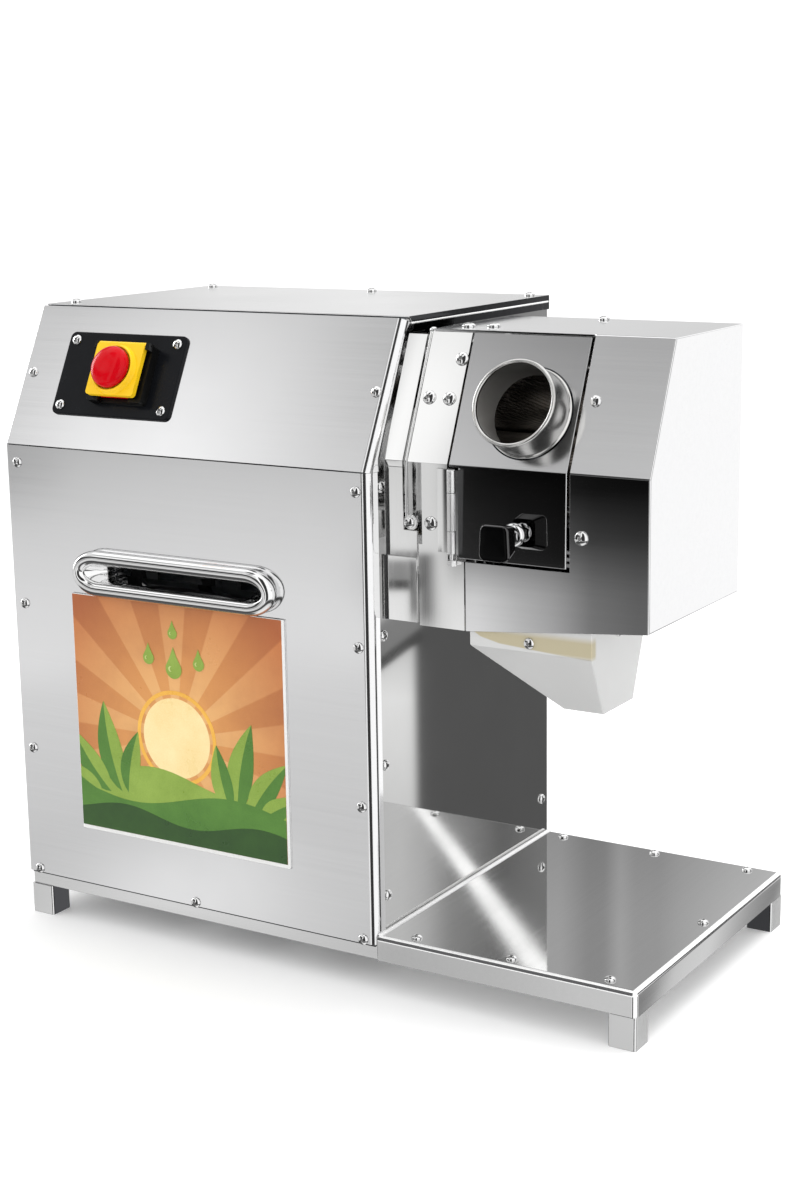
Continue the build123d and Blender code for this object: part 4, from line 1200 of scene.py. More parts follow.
piece(
    "switch_backplate",
    [plate],
    "frame",
    M["black_plate"],
    "switch_plate",
    ((lambda m, d: slope_h(m) > 2.9 and max(abs(m.x + 301.0) / 71.5, 0) > 0.5 or slope_h(m) > 2.9 and abs((Vector(m) - Vector((0, 0, 488.0))).dot(ST) - 76.0) > 30, 1.2, 3), (None, 0.25, 2)),
)
PIN_S, PIN_H = SWS + 26.5, 16.5
sb = ext(rounded(rect(SWX - 33, SWX + 33, SWS - 29, SWS + 29), 3.0, 6), 3.0, 13.0, FSH)
add = [ext(rect(SWX - 22, SWX + 22, SWS - 19, SWS + 19), -30.0, 3.5, FSH)]
for s in (-1, 1):
    xa, xb = sorted((SWX + s * 28.9, SWX + s * 33.0))
    add.append(ext(rect(xa, xb, PIN_S - 4.5, SWS + 28.9), 12.5, PIN_H + 3.6, FSH))
sb = boolean(sb, add, "UNION")
start_x, stop_x = (SWX - 30, SWX - 20), (SWX - 18, SWX + 18)
start_s, stop_s = (SWS - 13, SWS + 13), (SWS - 24.5, SWS + 13)
cut = []
for (xa, xb), (sa, sb_) in ((start_x, start_s), (stop_x, stop_s)):
    cut.append(ext(rect(xa - 0.3, xb + 0.3, sa - 0.3, sb_ + 0.3), 5.5, 14.0, FSH))
sb = boolean(sb, cut)
sb = boolean(sb, [ext(rect(stop_x[0] - 0.3, stop_x[1] + 0.3, SWS - 30, SWS - 24.5), 8.0, 14.0, FSH)])
pin_m = [(1.5 * math.cos(math.pi * k / 10), 1.5 * math.sin(math.pi * k / 10)) for k in range(20)]
pin_g = ext([(PIN_S + a, PIN_H + b) for a, b in pin_m], SWX - 33, SWX + 33, lambda a, b, c: s_mm(c, a, b))
piece("switch_body", [sb, pin_g], "frame", M["grey"], "switch_base", ((None, 0.7, 2),))

fp = ext(
    rounded(rect(SWX - 28.5, SWX + 28.5, SWS - 25.5, PIN_S), {0: 3.4, 1: 3.4, 2: 2.0, 3: 2.0}, 6),
    16.0,
    21.0,
    FSH,
)
barrel = [(3.2 * math.cos(math.pi * k / 14), 3.2 * math.sin(math.pi * k / 14)) for k in range(28)]
fp = boolean(
    fp,
    [ext([(PIN_S + a, PIN_H + b) for a, b in barrel], SWX - 28.5, SWX + 28.5, lambda a, b, c: s_mm(c, a, b))],
    "UNION",
)
fp = boolean(
    fp,
    [
        ext(disc(SWX, SWS, 7.3, 40), 10.0, 30.0, FSH),
        ext([(PIN_S + a * 1.04, PIN_H + b * 1.04) for a, b in pin_m], SWX - 40, SWX + 40, lambda a, b, c: s_mm(c, a, b)),
    ],
)
piece("flap_plate", [fp], "switch_flap", M["yellow"], "switch_flap", ((None, 0.8, 3),))
cm = basis(on_s(SWX, SWS), (1, 0, 0), SN)
lathe(
    "flap_collar",
    [(21.3, 20.6), (25.4, 20.6), (25.2, 21.3), (24.4, 22.2)]
    + [(23.9, 24.0), (23.5, 25.6), (23.1, 26.2), (22.5, 26.5), (21.9, 26.3), (21.5, 25.6), (21.3, 24.6)],
    cm,
    "switch_flap",
    M["yellow"],
    96,
    crease=50,
)
cap = (
    [(0.0, 17.5), (7.0, 17.5), (7.0, 25.9), (14.0, 25.9), (15.0, 25.6), (19.6, 25.6)]
    + arc(19.4, 26.7, 1.1, -90, 0, 5)
    + [
        (20.5 * math.cos(math.radians(a)) ** 0.78, 28.2 + 9.9 * math.sin(math.radians(a)) ** 0.86)
        for a in range(0, 90, 4)
    ]
    + [(0.0, 38.1)]
)
lathe("estop_mushroom", cap, cm, "estop_button", M["red"], 96, closed=False, crease=50)
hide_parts("estop_button")
for nm, (xa, xb), (sa, sb_), mt, st in (
    ("start_cap", start_x, start_s, "green", "start_button"),
    ("stop_cap", stop_x, stop_s, "red", "stop_button"),
):
    g = ext(rounded(rect(xa, xb, sa, sb_), 1.6, 6), 9.0, 14.0, FSH)
    piece(nm, [g], st, M[mt], st, ((None, 0.8, 3),))

# ------------------------------------------------------------------ rim of the opening
RX, RZ = -217.0, 369.0


def loop(half_l, end_a, half_h):
    """Oval with elliptic ends and straight sides: points and outward directions."""
    cx_ = half_l - end_a
    pts = []
    for s in (1, -1):
        for i in range(41):
            a = math.radians(-90 + 180 * i / 40)
            c, q = math.cos(a), math.sin(a)
            nrm = math.hypot(c / end_a, q / half_h)
            pts.append((s * (cx_ + end_a * c), s * half_h * q, s * c / end_a / nrm, s * q / half_h / nrm))
        for i in range(1, 12):
            pts.append((s * cx_ * (1 - i / 6), s * half_h, 0.0, s * 1.0))
    return pts


def swept(path, prof):
    """Sweeps a closed outline (outwards, forwards) along an oval."""
    n, k = len(prof), len(path)
    verts, faces = [], []
    for px_, pz_, dx, dz in path:
        for u, y in prof:
            verts.append(W(RX + px_ + dx * u, y, RZ + pz_ + dz * u))
    for i in range(k):
        j = (i + 1) % k
        for a in range(n):
            b = (a + 1) % n
            faces.append((i * n + a, i * n + b, j * n + b, j * n + a))
    return verts, faces


def ring_prof(u, y, r, n):
    return [(u + r * math.cos(2 * math.pi * k / n), y + r * math.sin(2 * math.pi * k / n)) for k in range(n)]


main = loop(112.0, 24.0, 15.6)
lip = [
    (-11.0, 107.6, 20.6, 11.3),
    (-8.0, 105.0, 19.6, 9.9),
    (-4.0, 101.0, 18.0, 9.0),
    (1.0, 96.0, 16.0, 8.4),
    (7.0, 91.0, 13.5, 8.0),
    (14.0, 88.0, 11.5, 7.7),
    (26.0, 87.0, 10.0, 7.5),
]
tv, tf = [], []
rows = [(y, loop(*k)) for y, *k in lip]
rows += [(y, loop(*(w + 1.1 for w in k))) for y, *k in reversed(lip)]
nn = len(main)
for y, pts in rows:
    tv += [W(RX + p[0], y, RZ + p[1]) for p in pts]
for i in range(len(rows)):
    i2 = (i + 1) % len(rows)
    for k in range(nn):
        k2 = (k + 1) % nn
        tf.append((i * nn + k, i * nn + k2, i2 * nn + k2, i2 * nn + k))
v, f = join(
    [
        swept(main, ring_prof(0.0, -7.0, 7.0, 40)),
        (tv, tf),
        swept(loop(107.0, 10.0, 10.0), [(1.9, 30.0), (0.0, 30.0), (0.0, -1.5), (1.9, -1.5)]),
    ]
)
o = sharp(make("opening_rim", v, f, "frame", M["ring"]), 50)
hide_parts("hand_hole_rim")

# ------------------------------------------------------------------ board
bd = ext(rounded(rect(-345.0, -92.5, 104.0, 345.5), 1.2, 6), -2.0, 0.0, FY)
piece(
    "board_tray",
    [bd],
    "frame",
    None,
    "front_board",
    ((None, 0.4, 3),),
    [M["plain"], M["board"]],
    lambda c, nrm: 1 if c.y < -1.9 else 0,
)
PX0, PX1, PZ0, PZ1 = -344.3, -95.4, 108.0, 344.8


def ink(name, a, b, scale=260.0, rough=0.3):
    """Printed ink: two close tones under a fine dot screen, satin."""
    m = Mat(name)
    dots = m.noise(m.mapped((scale * 6,) * 3), 1.0, 1.0, 0.5)
    wash = m.noise(m.mapped((26, 26, 26)), 1.0, 4.0, 0.6)
    t = m.math("ADD", m.math("MULTIPLY", dots, 0.35), m.math("MULTIPLY", wash, 0.65))
    m.set(color=m.ramp(t, [(0.35, a), (0.65, b)]), rough=m.span(wash, rough - 0.05, rough + 0.08, 0.3, 0.7))
    m.bump(dots, 0.02, 0.0001)
    return m.m


def burst(name, cx_, cz_):
    """Printed rays about a point, lighter towards it."""
    m = Mat(name)
    c = m.xyz()
    w = W(cx_, 0, cz_)
    dx = m.math("SUBTRACT", c["X"], w.x)
    dz = m.math("SUBTRACT", c["Z"], w.z)
    ang = m.math("ARCTAN2", dz, dx)
    wave = m.math("SINE", m.math("MULTIPLY", ang, 13.0))
    ray = m.span(wave, 0.0, 1.0, -0.12, 0.12, True)
    dist = m.math("POWER", m.math("ADD", m.math("MULTIPLY", dx, dx), m.math("MULTIPLY", dz, dz)), 0.5)
    far = m.span(dist, 0.0, 1.0, 0.03, 0.17)
    wash = m.noise(m.mapped((16, 16, 16)), 1.0, 5.0, 0.6)
    dots = m.noise(m.mapped((1500,) * 3), 1.0, 1.0, 0.5)
    one = m.mix(far, (0.66, 0.30, 0.085), (0.36, 0.095, 0.025))
    two = m.mix(far, (0.74, 0.41, 0.15), (0.47, 0.145, 0.04))
    col = m.mix(ray, one, two)
    col = m.mix(m.span(wash, 0.0, 0.30, 0.45, 0.75), col, (0.28, 0.07, 0.02))
    col = m.mix(m.span(dots, 0.0, 0.10, 0.5, 0.8), col, (0.85, 0.55, 0.25))
    m.set(color=col, rough=m.span(wash, 0.26, 0.36, 0.3, 0.7))
    m.bump(dots, 0.02, 0.0001)
    return m.m


CXB, CZB = -222.0, 214.0
INK = {
    "burst": burst("print_rays", CXB, CZB),
    "cream": ink("print_cream", (0.80, 0.60, 0.26), (0.90, 0.72, 0.38)),
    "gold": ink("print_gold", (0.72, 0.36, 0.04), (0.84, 0.47, 0.07)),
    "lime": ink("print_lime", (0.19, 0.30, 0.035), (0.27, 0.40, 0.06)),
    "leaf": ink("print_leaf", (0.055, 0.16, 0.018), (0.09, 0.23, 0.03)),
    "dark": ink("print_dark", (0.018, 0.06, 0.01), (0.032, 0.095, 0.015)),
    "pale": ink("print_pale", (0.42, 0.50, 0.15), (0.55, 0.62, 0.24)),
}


def layer(name, polys, key, k):
    """Flat printed shapes, one thin film above the last."""
    y1 = -1.95 - 0.09 * k
    return piece(
        name, [ext(p, y1 - 0.14, y1, FY) for p in polys], "frame", INK[key], None, ()
    )


def clip(poly):
    """Keeps an outline inside the printed field."""

    def cut_half(pts, ax, lim, sign):
        out = []
        for i, p in enumerate(pts):
            q = pts[(i + 1) % len(pts)]
            a, b = sign * (p[ax] - lim) <= 0, sign * (q[ax] - lim) <= 0
            if a:
                out.append(p)
            if a != b:
                t = (lim - p[ax]) / (q[ax] - p[ax])
                out.append((p[0] + t * (q[0] - p[0]), p[1] + t * (q[1] - p[1])))
        return out

    for ax, lim, sign in ((0, PX0 + 0.2, -1), (0, PX1 - 0.2, 1), (1, PZ0 + 0.2, -1), (1, PZ1 - 0.2, 1)):
        poly = cut_half(poly, ax, lim, sign)
    return poly


def hill(fn):
    xs = [PX0 + 0.2 + (PX1 - PX0 - 0.4) * i / 60 for i in range(61)]
    return [(PX0 + 0.2, PZ0 + 0.2)] + [(PX1 - 0.2, PZ0 + 0.2)] + [(x, fn(x)) for x in reversed(xs)]


def leaf(x, z, ang, length, width, side=0, bend=0.18):
    """Pointed leaf from its stalk; side -1 or 1 gives the half on one side of the rib."""
    c, s = math.cos(math.radians(ang)), math.sin(math.radians(ang))

    def at(t, w):
        px = length * t
        pz = bend * length * (t - t * t) + w * width * (math.sin(math.pi * t ** 0.8) ** 0.9) * 0.5
        return (x + px * c - pz * s, z + px * s + pz * c)

    ts = [i / 18 for i in range(19)]
    up = [at(t, 1.0 if side >= 0 else 0.0) for t in ts]
    dn = [at(t, -1.0 if side <= 0 else 0.0) for t in ts]
    return clip(up + dn[::-1][1:-1])


def drop(x, z, r):
    pts = arc(x, z, r, -200, 20, 22)
    return pts + [(x + r * 0.42, z + r * 1.25), (x, z + r * 2.3), (x - r * 0.42, z + r * 1.25)]


layer("print_field", [rounded(rect(PX0, PX1, PZ0, PZ1), 0.6, 3)], "burst", 0)
layer("print_sun", [disc(CXB, CZB, 40.0, 72)], "cream", 1)
ringo = disc(CXB, CZB, 47.5, 72)
ringi = disc(CXB, CZB, 43.5, 72)
rv = [(a, -2.26, b) for a, b in ringo] + [(a, -2.26, b) for a, b in ringi]
rv += [(a, -2.04, b) for a, b in ringo] + [(a, -2.04, b) for a, b in ringi]
rf = []
for i in range(72):
    j = (i + 1) % 72
    rf += [
        (i, j, 72 + j, 72 + i),
        (144 + j, 144 + i, 216 + i, 216 + j),
        (j, i, 144 + i, 144 + j),
        (72 + i, 72 + j, 216 + j, 216 + i),
    ]
piece("print_halo", [(rv, rf)], "frame", INK["gold"], None, ())
layer("print_hill_back", [hill(lambda x: 172.0 + 9.0 * math.sin((x + 300.0) / 31.0))], "lime", 2)
layer("print_hill_mid", [hill(lambda x: 152.0 + 10.0 * math.sin((x + 218.0) / 38.0))], "leaf", 3)
layer("print_hill_front", [hill(lambda x: 131.0 + 6.5 * math.sin((x + 330.0) / 26.0))], "dark", 4)
sprigs = []
for sx in (-1, 1):
    for dx_, z_, ang, ln, wd in (
        (70.0, 150.0, 78, 92.0, 30.0),
        (84.0, 148.0, 52, 74.0, 27.0),
        (62.0, 150.0, 103, 66.0, 24.0),
        (96.0, 146.0, 30, 52.0, 22.0),
    ):
        a = ang if sx > 0 else 180 - ang
        sprigs.append((CXB + sx * dx_, z_, a, ln, wd, sx))
for k, (x, z, a, ln, wd, s) in enumerate(sprigs):
    layer("print_leaf_light_%d" % k, [leaf(x, z, a, ln, wd, s)], "lime", 2.2 + 0.16 * (k % 4))
    layer("print_leaf_dark_%d" % k, [leaf(x, z, a, ln, wd, -s)], "leaf", 2.2 + 0.16 * (k % 4))
drops = [(CXB, 283.0, 9.5), (CXB - 30.0, 291.0, 6.5), (CXB + 30.0, 291.0, 6.5), (CXB, 318.0, 5.5)]
layer("print_drops", [drop(x, z, r) for x, z, r in drops], "lime", 5)
layer(
    "print_glints",
    [arc(x - r * 0.35, z, r * 0.30, 100, 260, 10) + arc(x - r * 0.2, z, r * 0.26, 260, 100, 10) for x, z, r in drops],
    "pale",
    7,
)

# ------------------------------------------------------------------ screws
front_spots = [
    (W(x, 0, z), FRONT) for z in (470.0, 328.0, 178.0) for x in (-407.5, -12.5)
] + [(W(x, 0, 49.0), FRONT) for x in (-407.5, -208.0, -14.0)]
panel_spots = [(on_s(x, 75.0), SN) for x in (-410.0, -10.0)]
roof_spots = [
    (W(x, y, 619.0), UP)
    for x, y in ((-407.0, 100.0), (-407.0, 329.0), (-200.0, 329.0), (-13.0, 329.0))
]
wall_yz = [(22.0, z) for z in (472.0, 336.0, 214.0, 88.0)] + [
    (55.0, 543.7),
    (329.0, 93.0),
    (329.0, 330.0),
    (329.0, 560.0),
]
wall_spots = [(W(0, y, z), RIGHT) for y, z in wall_yz]
left_spots = [(W(-420.0, y, z), LEFT) for y, z in wall_yz]
rear_spots = [(W(x, 342.0, z), BACK) for z in (590.0, 320.0, 70.0) for x in (-405.0, -15.0)]
deck_spots = [
    (W(x, y, 55.0), UP)
    for x, y in (
        (35.6, 14.5),
        (135.0, 14.0),
        (232.0, 15.0),
        (249.5, 177.7),
        (26.0, 329.0),
        (130.6, 329.0),
        (231.6, 329.0),
    )
]
plate_spots = [
    (on_s(-301.0 + a * 61.5, 76.0 + b * 33.5, 3.0), SN) for a in (-1, 1) for b in (-1, 1)
]
chute_spots = [(W(150.0, 20.2, 346.5), FRONT), (W(210.0, 72.0, 354.0), RIGHT)]
cover_spots = [(on_h(201.4, 63.9), HN), (W(132.4, 200.0, 609.8), UP)]
bracket_spots = [(W(32.0, 17.8, 443.5), FRONT)]
bolt_spots = [
    (W(201.0, 17.8, 443.8), FRONT),
    (W(50.8, 93.8, 609.8), UP),
    (W(71.7, 102.0, 609.8), UP),
    (on_h(65.8, 95.2), HN),
    (on_h(40.5, 58.8), HN),
    (on_h(60.8, 58.8), HN),
    (W(54.2, 17.8, 444.4), FRONT),
]


def spot_matrix(p, d):
    d = Vector(d)
    ref = Vector((0, 0, 1)) if abs(d.z) < 0.9 else Vector((1, 0, 0))
    x = ref.cross(d).normalized()
    m = basis(p, x, d)
    return m @ Matrix.Rotation(random.uniform(0, math.pi / 3), 4, "Z")


def head_geo(m, r, h, depth, shank, socket=True, segs=36):
    """Button head with a hexagon socket, over a plain shank."""
    prof = [(0.0, -depth), (shank, -depth), (shank, 0.0), (r - 0.25, 0.0), (r, 0.25)]
    crown = [(r * math.cos(a), 0.55 + (h - 0.55) * math.sin(a)) for a in
             [math.radians(d) for d in (0, 12, 25, 38, 50, 61)]]
    v, f = lathe_geo(prof + crown, m, segs, closed=False)
    base = len(v) - segs
    rs = r * 0.30
    zt = h * 0.985

    def ring(fn, z):
        k0 = len(v)
        for k in range(segs):
            a = 2 * math.pi * k / segs
            rr = fn(a)
            v.append(m @ Vector((rr * MM * math.cos(a), rr * MM * math.sin(a), z * MM)))
        return k0

    def hexr(a):
        b = (a % (math.pi / 3)) - math.pi / 6
        return rs * math.cos(math.pi / 6) / math.cos(b)

    def quad(a, b):
        for k in range(segs):
            k2 = (k + 1) % segs
            f.append((a + k, a + k2, b + k2, b + k))

    r1 = ring(lambda a: hexr(a) + 0.22, zt)
    quad(base, r1)
    r2 = ring(hexr, zt - 0.15)
    quad(r1, r2)
    r3 = ring(hexr, zt - 1.5)
    quad(r2, r3)
    c = len(v)
    v.append(m @ Vector((0, 0, (zt - 1.9) * MM)))
    for k in range(segs):
        f.append((r3 + k, r3 + (k + 1) % segs, c))
    return v, f


def screws(name, spots, node, r, h, depth, shank):
    parts = [head_geo(spot_matrix(p, d), r, h, depth, shank) for p, d in spots]
    v, f = join(parts)
    per = len(parts[0][1])
    o = make(
        name,
        v,
        f,
        "frame",
        None,
        mats=[M["screw"], M["socket"]],
        # the socket faces take the darker steel as painted shade
        idx=[1 if k % per >= per - 72 else 0 for k in range(len(f))],
    )
    sharp(o, 40)
    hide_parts(node)
    return o


screws(
    "panel_screw_heads",
    front_spots
    + panel_spots
    + roof_spots
    + wall_spots
    + left_spots
    + rear_spots
    + deck_spots
    + plate_spots
    + chute_spots
    + cover_spots
    + bracket_spots,
    "panel_screws",
    5.2,
    3.3,
    4.9,
    2.85,
)
screws("head_bolt_heads", bolt_spots, "head_bolts", 6.3, 3.6, 4.9, 3.8)

# ------------------------------------------------------------------ inlet pipe
pm = basis(on_h(141.0, 50.0), (1, 0, 0), HN)
prof = (
    [(38.2, -5.0), (38.4, -4.7)]
    + [(38.4, 0.1), (41.7, 0.12), (41.5, 0.3), (40.3, 0.4), (39.8, 0.8), (39.0, 1.8), (38.4, 3.2)]
    + [(38.4, 28.6), (38.55, 29.4)]
    + arc(37.0, 30.2, 1.9, 0, 180, 14)
    + [(35.2, 29.0), (35.2, -4.7), (35.5, -5.0)]
)
lathe("inlet_pipe_turned", prof, pm, "inlet_door", M["pipe"], 160)
pipe = bpy.data.objects["inlet_pipe_turned"]
pipe.data.materials.append(M["bore"])
pipe.data.materials.append(M["shade"])
inv = pm.inverted()
for q in pipe.data.polygons:
    c = inv @ q.center
    if math.hypot(c.x, c.y) < 35.6 * MM and c.z < 29.5 * MM:
        q.material_index = 1
    # the thin ring around the pipe's base takes painted shade, a contact shadow line
    elif math.hypot(c.x, c.y) > 40.5 * MM:
        q.material_index = 2
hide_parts("inlet_pipe")

# ------------------------------------------------------------------ rollers
roll_sets = {
    "top_roller": (109.9, 547.1, -50.0),
    "front_roller": (84.5, 488.36, 56.0),
    "rear_roller": (
        109.9 + 64.0 * math.cos(math.radians(-38.0)),
        547.1 + 64.0 * math.sin(math.radians(-38.0)),
        56.0,
    ),
}


def ridged(y, z, x0, hand):
    """Roller barrel with shallow helical flutes, and its shaft."""
    flutes, per = 64, 4
    n = flutes * per
    m = basis(W(0, y, z), (0, 1, 0), (1, 0, 0))
    verts, faces = [], []
    shape = [31.0, 31.0, 30.0, 30.0]
    xs = [74.5, 75.7] + [75.7 + (186.3 - 75.7) * i / 24 for i in range(1, 24)] + [186.3, 187.5]
    for x in xs:
        tw = hand * math.radians(34.0) * (x - 131.0) / 56.0
        for k in range(n):
            a = 2 * math.pi * k / n + tw
            r = shape[k % per]
            if x in (xs[0], xs[-1]):
                r = 28.6
            verts.append(m @ Vector((r * MM * math.cos(a), r * MM * math.sin(a), x * MM)))
    for i in range(len(xs) - 1):
        for k in range(n):
            k2 = (k + 1) % n
            faces.append((i * n + k, i * n + k2, (i + 1) * n + k2, (i + 1) * n + k))
    faces.append(tuple(reversed(range(n))))
    faces.append(tuple(range((len(xs) - 1) * n, len(xs) * n)))
    shafts = []
    for a, b in ((x0, 74.5), (187.5, 238.0)):
        shafts.append(
            lathe_geo(
                [(0.0, a), (13.2, a), (14.0, a + 0.8), (14.0, b - 0.8), (13.2, b), (0.0, b)],
                m,
                48,
                closed=False,
            )
        )
    return join([(verts, faces)] + shafts)


for i, (n, (y, z, x0)) in enumerate(roll_sets.items()):
    v, f = ridged(y, z, x0, 1 if i == 0 else -1)
    o = sharp(make(n + "_fluted", v, f, n, M["roller"]), 30)
    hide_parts(n)

# ------------------------------------------------------------------ camera
az, el, roll = math.radians(31.76), math.radians(12.59), math.radians(-0.92)
back = Vector((math.sin(az) * math.cos(el), -math.cos(az) * math.cos(el), math.sin(el)))
right = Vector((math.cos(az), math.sin(az), 0))
up = right.cross(-back)
R = right * math.cos(roll) + up * math.sin(roll)
U = -right * math.sin(roll) + up * math.cos(roll)
cam = bpy.data.cameras.new("camera")
cam.lens = 2040.94 * 36.0 / 1196.0
cam.sensor_width = 36.0
cam.clip_end = 50.0
co = bpy.data.objects.new("camera", cam)
bpy.context.scene.collection.objects.link(co)
mw = Matrix.Identity(4)
pos = W(955.75, -1494.63, 771.08)
for i in range(3):
    mw[i][0], mw[i][1], mw[i][2], mw[i][3] = R[i], U[i], back[i], pos[i]
co.matrix_world = mw
bpy.context.scene.camera = co

# ------------------------------------------------------------------ studio
fm = Mat("studio_floor")
fm.set(
    color=fm.ramp(
        fm.noise(fm.mapped((1.2, 1.2, 1.2)), 1.0, 2.0),
        [(0.3, (0.955, 0.955, 0.955)), (0.7, (0.965, 0.965, 0.965))],
    ),
    rough=0.7,
    spec=0.1,
)
fm.p.inputs["Emission Color"].default_value = (1, 1, 1, 1)
fm.p.inputs["Emission Strength"].default_value = 0.12
me = bpy.data.meshes.new("floor")
e = 14.0
me.from_pydata([(-e, -e, 0), (e, -e, 0), (e, e, 0), (-e, e, 0)], [], [(0, 1, 2, 3)])
floor = bpy.data.objects.new("floor", me)
me.materials.append(fm.m)
bpy.context.scene.collection.objects.link(floor)
floor.visible_glossy = False

world = bpy.data.worlds.new("studio")
bpy.context.scene.world = world
world.use_nodes = True
sky = Tree(world.node_tree)
world.node_tree.nodes.clear()
wout = sky.new("ShaderNodeOutputWorld")
bg = sky.new("ShaderNodeBackground")
sky.link(bg.outputs["Background"], wout.inputs["Surface"])
tc = sky.new("ShaderNodeTexCoord")
sep = sky.new("ShaderNodeSeparateXYZ")
sky.link(tc.outputs["Generated"], sep.inputs["Vector"])
dx_, dy_, dz_ = (sep.outputs[k] for k in "XYZ")
DEG = 180.0 / math.pi
turn = sky.math("MULTIPLY", sky.math("ARCTAN2", dx_, sky.math("MULTIPLY", dy_, -1.0)), DEG)
lift = sky.math("MULTIPLY", sky.math("ARCSINE", dz_), DEG)


def curve(x, pts):
    """Brightness along an angle, between given points."""
    lo, hi = pts[0][0], pts[-1][0]
    t = sky.span(x, 0.0, 1.0, lo, hi)
    return sky.math(
        "MULTIPLY",
        sky.ramp(t, [((p - lo) / (hi - lo), (v / 1.5,) * 3) for p, v in pts]),
        1.5,
    )


def gate(x, lo, hi, s0=1.0, s1=None):
    s1 = s0 if s1 is None else s1
    a = sky.span(x, 0.0, 1.0, lo - s0, lo + s0, True)
    b = sky.span(x, 1.0, 0.0, hi - s1, hi + s1, True)
    return sky.math("MULTIPLY", a, b)


def screen(v, value, t0, t1, l0, l1, ts=1.0, ls=1.0):
    """A soft screen of one brightness (or a curve) hung between two turns and two lifts."""
    ts = ts if isinstance(ts, tuple) else (ts, ts)
    ls = ls if isinstance(ls, tuple) else (ls, ls)
    m = sky.math("MULTIPLY", gate(turn, t0, t1, *ts), gate(lift, l0, l1, *ls))
    return sky.blend(m, v, value)


v = curve(
    lift,
    [(-90, 1.05), (-64, 0.95), (-52, 0.74), (-48, 0.08), (-31, 0.08), (-27.5, 0.76), (0, 0.76), (45, 0.95), (52, 1.25), (90, 1.25)],
)
v = screen(v, 0.10, -165, -98, -70, -22, 6, 4)
v = screen(v, 0.12, -168, -100, 25, 42, 6, 4)
v = screen(v, 0.13, -125, -44, -68, -46, 8, 4)
v = screen(v, 1.5, -136, -68, 46, 70, 6, 3)
v = screen(v, 0.12, -62, -28, 50, 72, 4, 3)
# front: floor sweep, dark horizon, ceiling screens
v = screen(
    v,
    curve(
        lift,
        [(-27, 0.74), (-21.5, 0.74), (-19.3, 0.66), (-17.5, 0.74), (-14.9, 0.78), (-14.3, 0.92), (-12.5, 0.88), (-9, 0.72), (-6, 0.4)],
    ),
    -62,
    -31.3,
    -27,
    0,
    (4, 0.3),
    2,
)
v = screen(v, 0.98, -40.5, -35.5, -21.8, -19.2, 2, 0.8)
v = screen(v, 0.45, -60, -41.5, -9.5, 2, 1.2, 1.0)
v = screen(v, 0.06, -76, -8, 4, 21, 3, (2, 3))
v = screen(v, curve(turn, [(-33, 0.56), (-29, 0.64), (-26.5, 0.75), (-20, 0.84)]), -33, -20, -26, -21.5, 1, 0.6)
glow = curve(turn, [(-60, 0.62), (-51, 0.68), (-48.5, 1.12), (-45, 1.10), (-42, 0.76), (-39, 0.78), (-38.4, 1.10), (-36.0, 1.10), (-35.4, 0.62), (-32, 0.60), (-26, 0.64)])
glow = sky.math("MULTIPLY", glow, curve(lift, [(24, 1.15), (33, 1.06), (36.0, 0.86), (39, 0.64), (48, 0.8)]))
v = screen(v, glow, -60, -26, 24, 46, 4, (1.5, 4))
# tall lamp on the left
v = screen(v, 6.0, -102, -84, -3, 30, 3, 6)
# dark stand in front of the head, thinning downwards and to the left
stand = sky.math(
    "MULTIPLY",
    curve(turn, [(-31, 1.0), (-29.6, 0.92), (-28.3, 0.64), (-27.4, 0.50), (-26.2, 0.24), (-24.8, 0.17), (-19, 0.2)]),
    curve(lift, [(-14, 1.0), (-12.6, 0.85), (-11.0, 0.22), (-9.6, 0.03), (-7.0, 0.006), (2, 0.006)]),
)
v = screen(v, stand, -30.35, -18, -15.5, 4, (0.3, 2), (1, 2))
v = screen(v, 0.12, -31.2, -30.75, -13.4, -11.35, (0.1, 0.25), (0.5, 0.1))
v = screen(v, 0.28, -32.4, -31.2, -12.0, -11.35, 0.15, 0.1)
v = screen(v, 0.03, -32.4, -31.2, -12.38, -12.0, 0.15, 0.1)
# right: tall white screen with dark edges
v = screen(v, 1.2, -16, 118, -30, 60, 2, 6)
v = screen(v, 0.04, -5, 32, -30, 62, 3, 4)
v = screen(v, 0.06, 101, 124, -30, 50, 3, 4)
v = screen(v, 1.25, 132, 146.4, -26, 2, 2, 2)
v = screen(v, curve(lift, [(-22, 0.7), (-18.2, 0.82), (-15.4, 1.0), (-14.3, 0.82), (-12.6, 0.46), (-7.5, 0.42)]), 147, 148.75, -24, 0, (0.5, 0.15), 2)
v = screen(v, 0.11, 148.68, 153.3, -20.5, -2.5, (0.15, 0.7), 1.5)
v = screen(v, 1.2, 146.8, 149.0, -10.2, -5.6, 0.6, 0.6)
v = screen(v, curve(turn, [(148.7, 0.12), (150.4, 0.17), (151.2, 0.24), (152.4, 0.34)]), 148.7, 153.3, -6.5, -2.5, 0.2, 0.5)
edge = sky.math("SUBTRACT", lift, sky.math("ADD", -14.55, sky.math("MULTIPLY", sky.math("SUBTRACT", turn, 147.79), 0.705)))
m = sky.math("MULTIPLY", gate(turn, 147.0, 148.9, 0.3, 0.1), gate(edge, 0.0, 1.35, 0.04, 0.15))
v = sky.blend(m, v, curve(edge, [(0.0, 0.085), (0.30, 0.085), (0.42, 0.27), (1.5, 0.27)]))
v = screen(v, 1.22, 154, 172, -16, 2, 0.7, 2)
v = screen(v, curve(turn, [(154.8, 0.2), (155.5, 0.34), (156.1, 0.76), (157.2, 0.84), (157.8, 0.62), (158.3, 0.45), (159, 0.3)]), 154.6, 159.4, -25.5, -19.5, 0.3, 0.8)
v = screen(v, 1.3, 154, 168, -33, -26.5, 2, 1)
v = screen(v, 0.10, -183, -166, -30, 2, 2, 2)
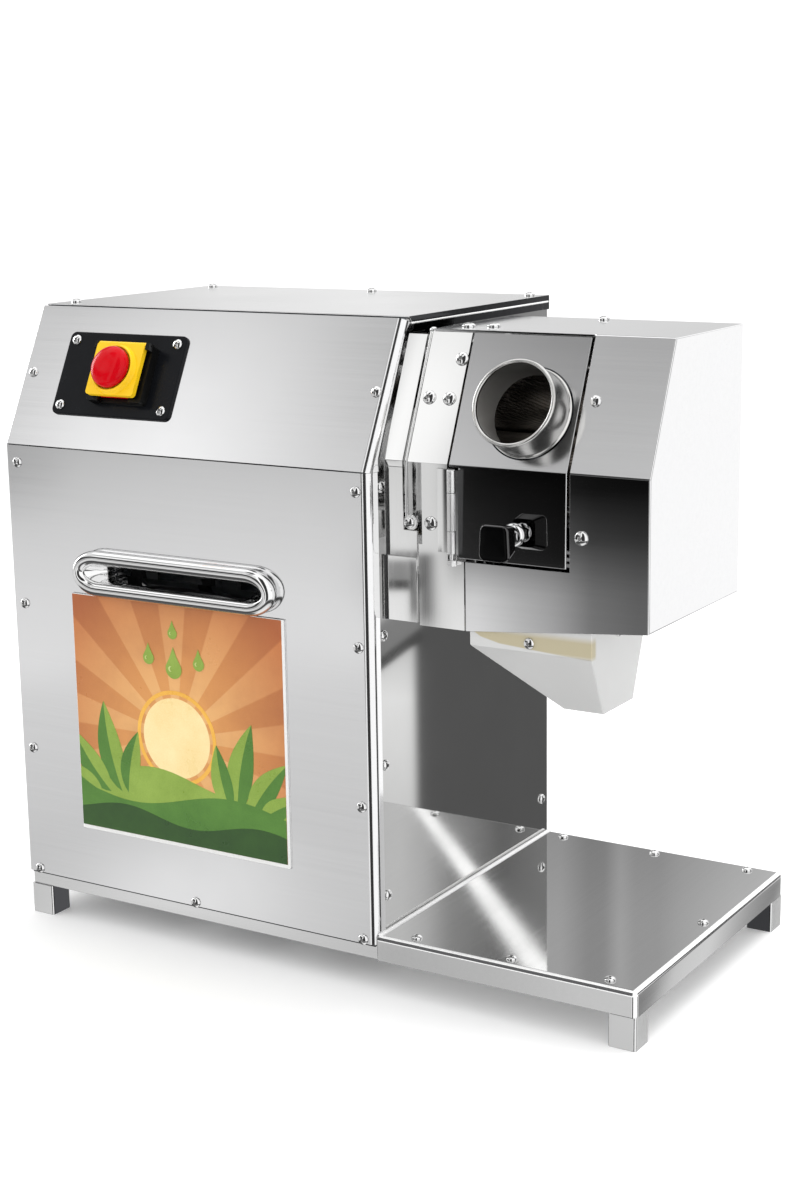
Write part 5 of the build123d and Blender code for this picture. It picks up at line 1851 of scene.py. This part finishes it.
# back: what the deck and the roof mirror
v = screen(v, 1.4, 159, 184, 14, 60, 2, 4)
v = screen(v, 1.4, -184, -163, 26, 60, 2, 3)
v = screen(v, curve(turn, [(143, 0.9), (148.2, 0.86), (148.9, 0.7), (149.6, 0.4), (150.3, 0.33), (151.2, 0.2), (152.5, 0.3), (160, 0.34)]), 143, 160, 8, 27, 2, 2)
far = sky.math(
    "MULTIPLY",
    curve(turn, [(-160, 0.66), (-158.1, 0.63), (-156.4, 0.49), (-155.8, 0.42), (-155.1, 0.42), (-154.66, 0.50), (-154.2, 0.34), (-153.7, 0.34), (-152.9, 0.47), (-143, 0.40)]),
    curve(lift, [(17, 0.66), (19.5, 0.80), (21.5, 0.95), (23.2, 0.97)]),
)
v = screen(v, far, -160, -143, 8, 27, 2, 2)
streak = sky.math("ADD", 149.0, sky.math("MULTIPLY", sky.math("SUBTRACT", lift, 18.73), 0.785))
off = sky.math("ABSOLUTE", sky.math("SUBTRACT", turn, streak))
wide = sky.span(lift, 0.14, 0.40, 18.0, 23.0)
line = sky.span(sky.math("DIVIDE", off, wide), 1.0, 0.0, 0.7, 1.55, True)
m = sky.math("MULTIPLY", line, gate(lift, 15.0, 26.0, 1.5, 1.5))
v = sky.blend(m, v, 1.9)
v = screen(v, curve(turn, [(-165, 0.68), (-156, 0.74), (-151, 0.78), (-148, 0.92), (-143.5, 0.86), (-138, 0.55)]), -165, -132, 1, 12, 2, 1.6)

path = sky.new("ShaderNodeLightPath")
plain = sky.math("SUBTRACT", 1.0, path.outputs["Is Glossy Ray"])
sky.link(sky.blend(plain, v, 1.18), bg.inputs["Strength"])
bg.inputs["Color"].default_value = (1, 1, 1, 1)


def area(name, loc, target, sx, sy, power, color=(1, 1, 1)):
    li = bpy.data.lights.new(name, "AREA")
    li.shape = "RECTANGLE"
    li.size, li.size_y = sx, sy
    li.energy = power
    li.color = color
    o = bpy.data.objects.new(name, li)
    bpy.context.scene.collection.objects.link(o)
    o.location = loc
    o.rotation_euler = (Vector(target) - Vector(loc)).to_track_quat("-Z", "Y").to_euler()
    o.visible_glossy = False
    return o


area("overhead", (0.5, 0.7, 2.4), (0, 0, 0.0), 1.8, 1.8, 30)

vs = bpy.context.scene.view_settings
vs.view_transform = "Standard"
vs.look = "None"
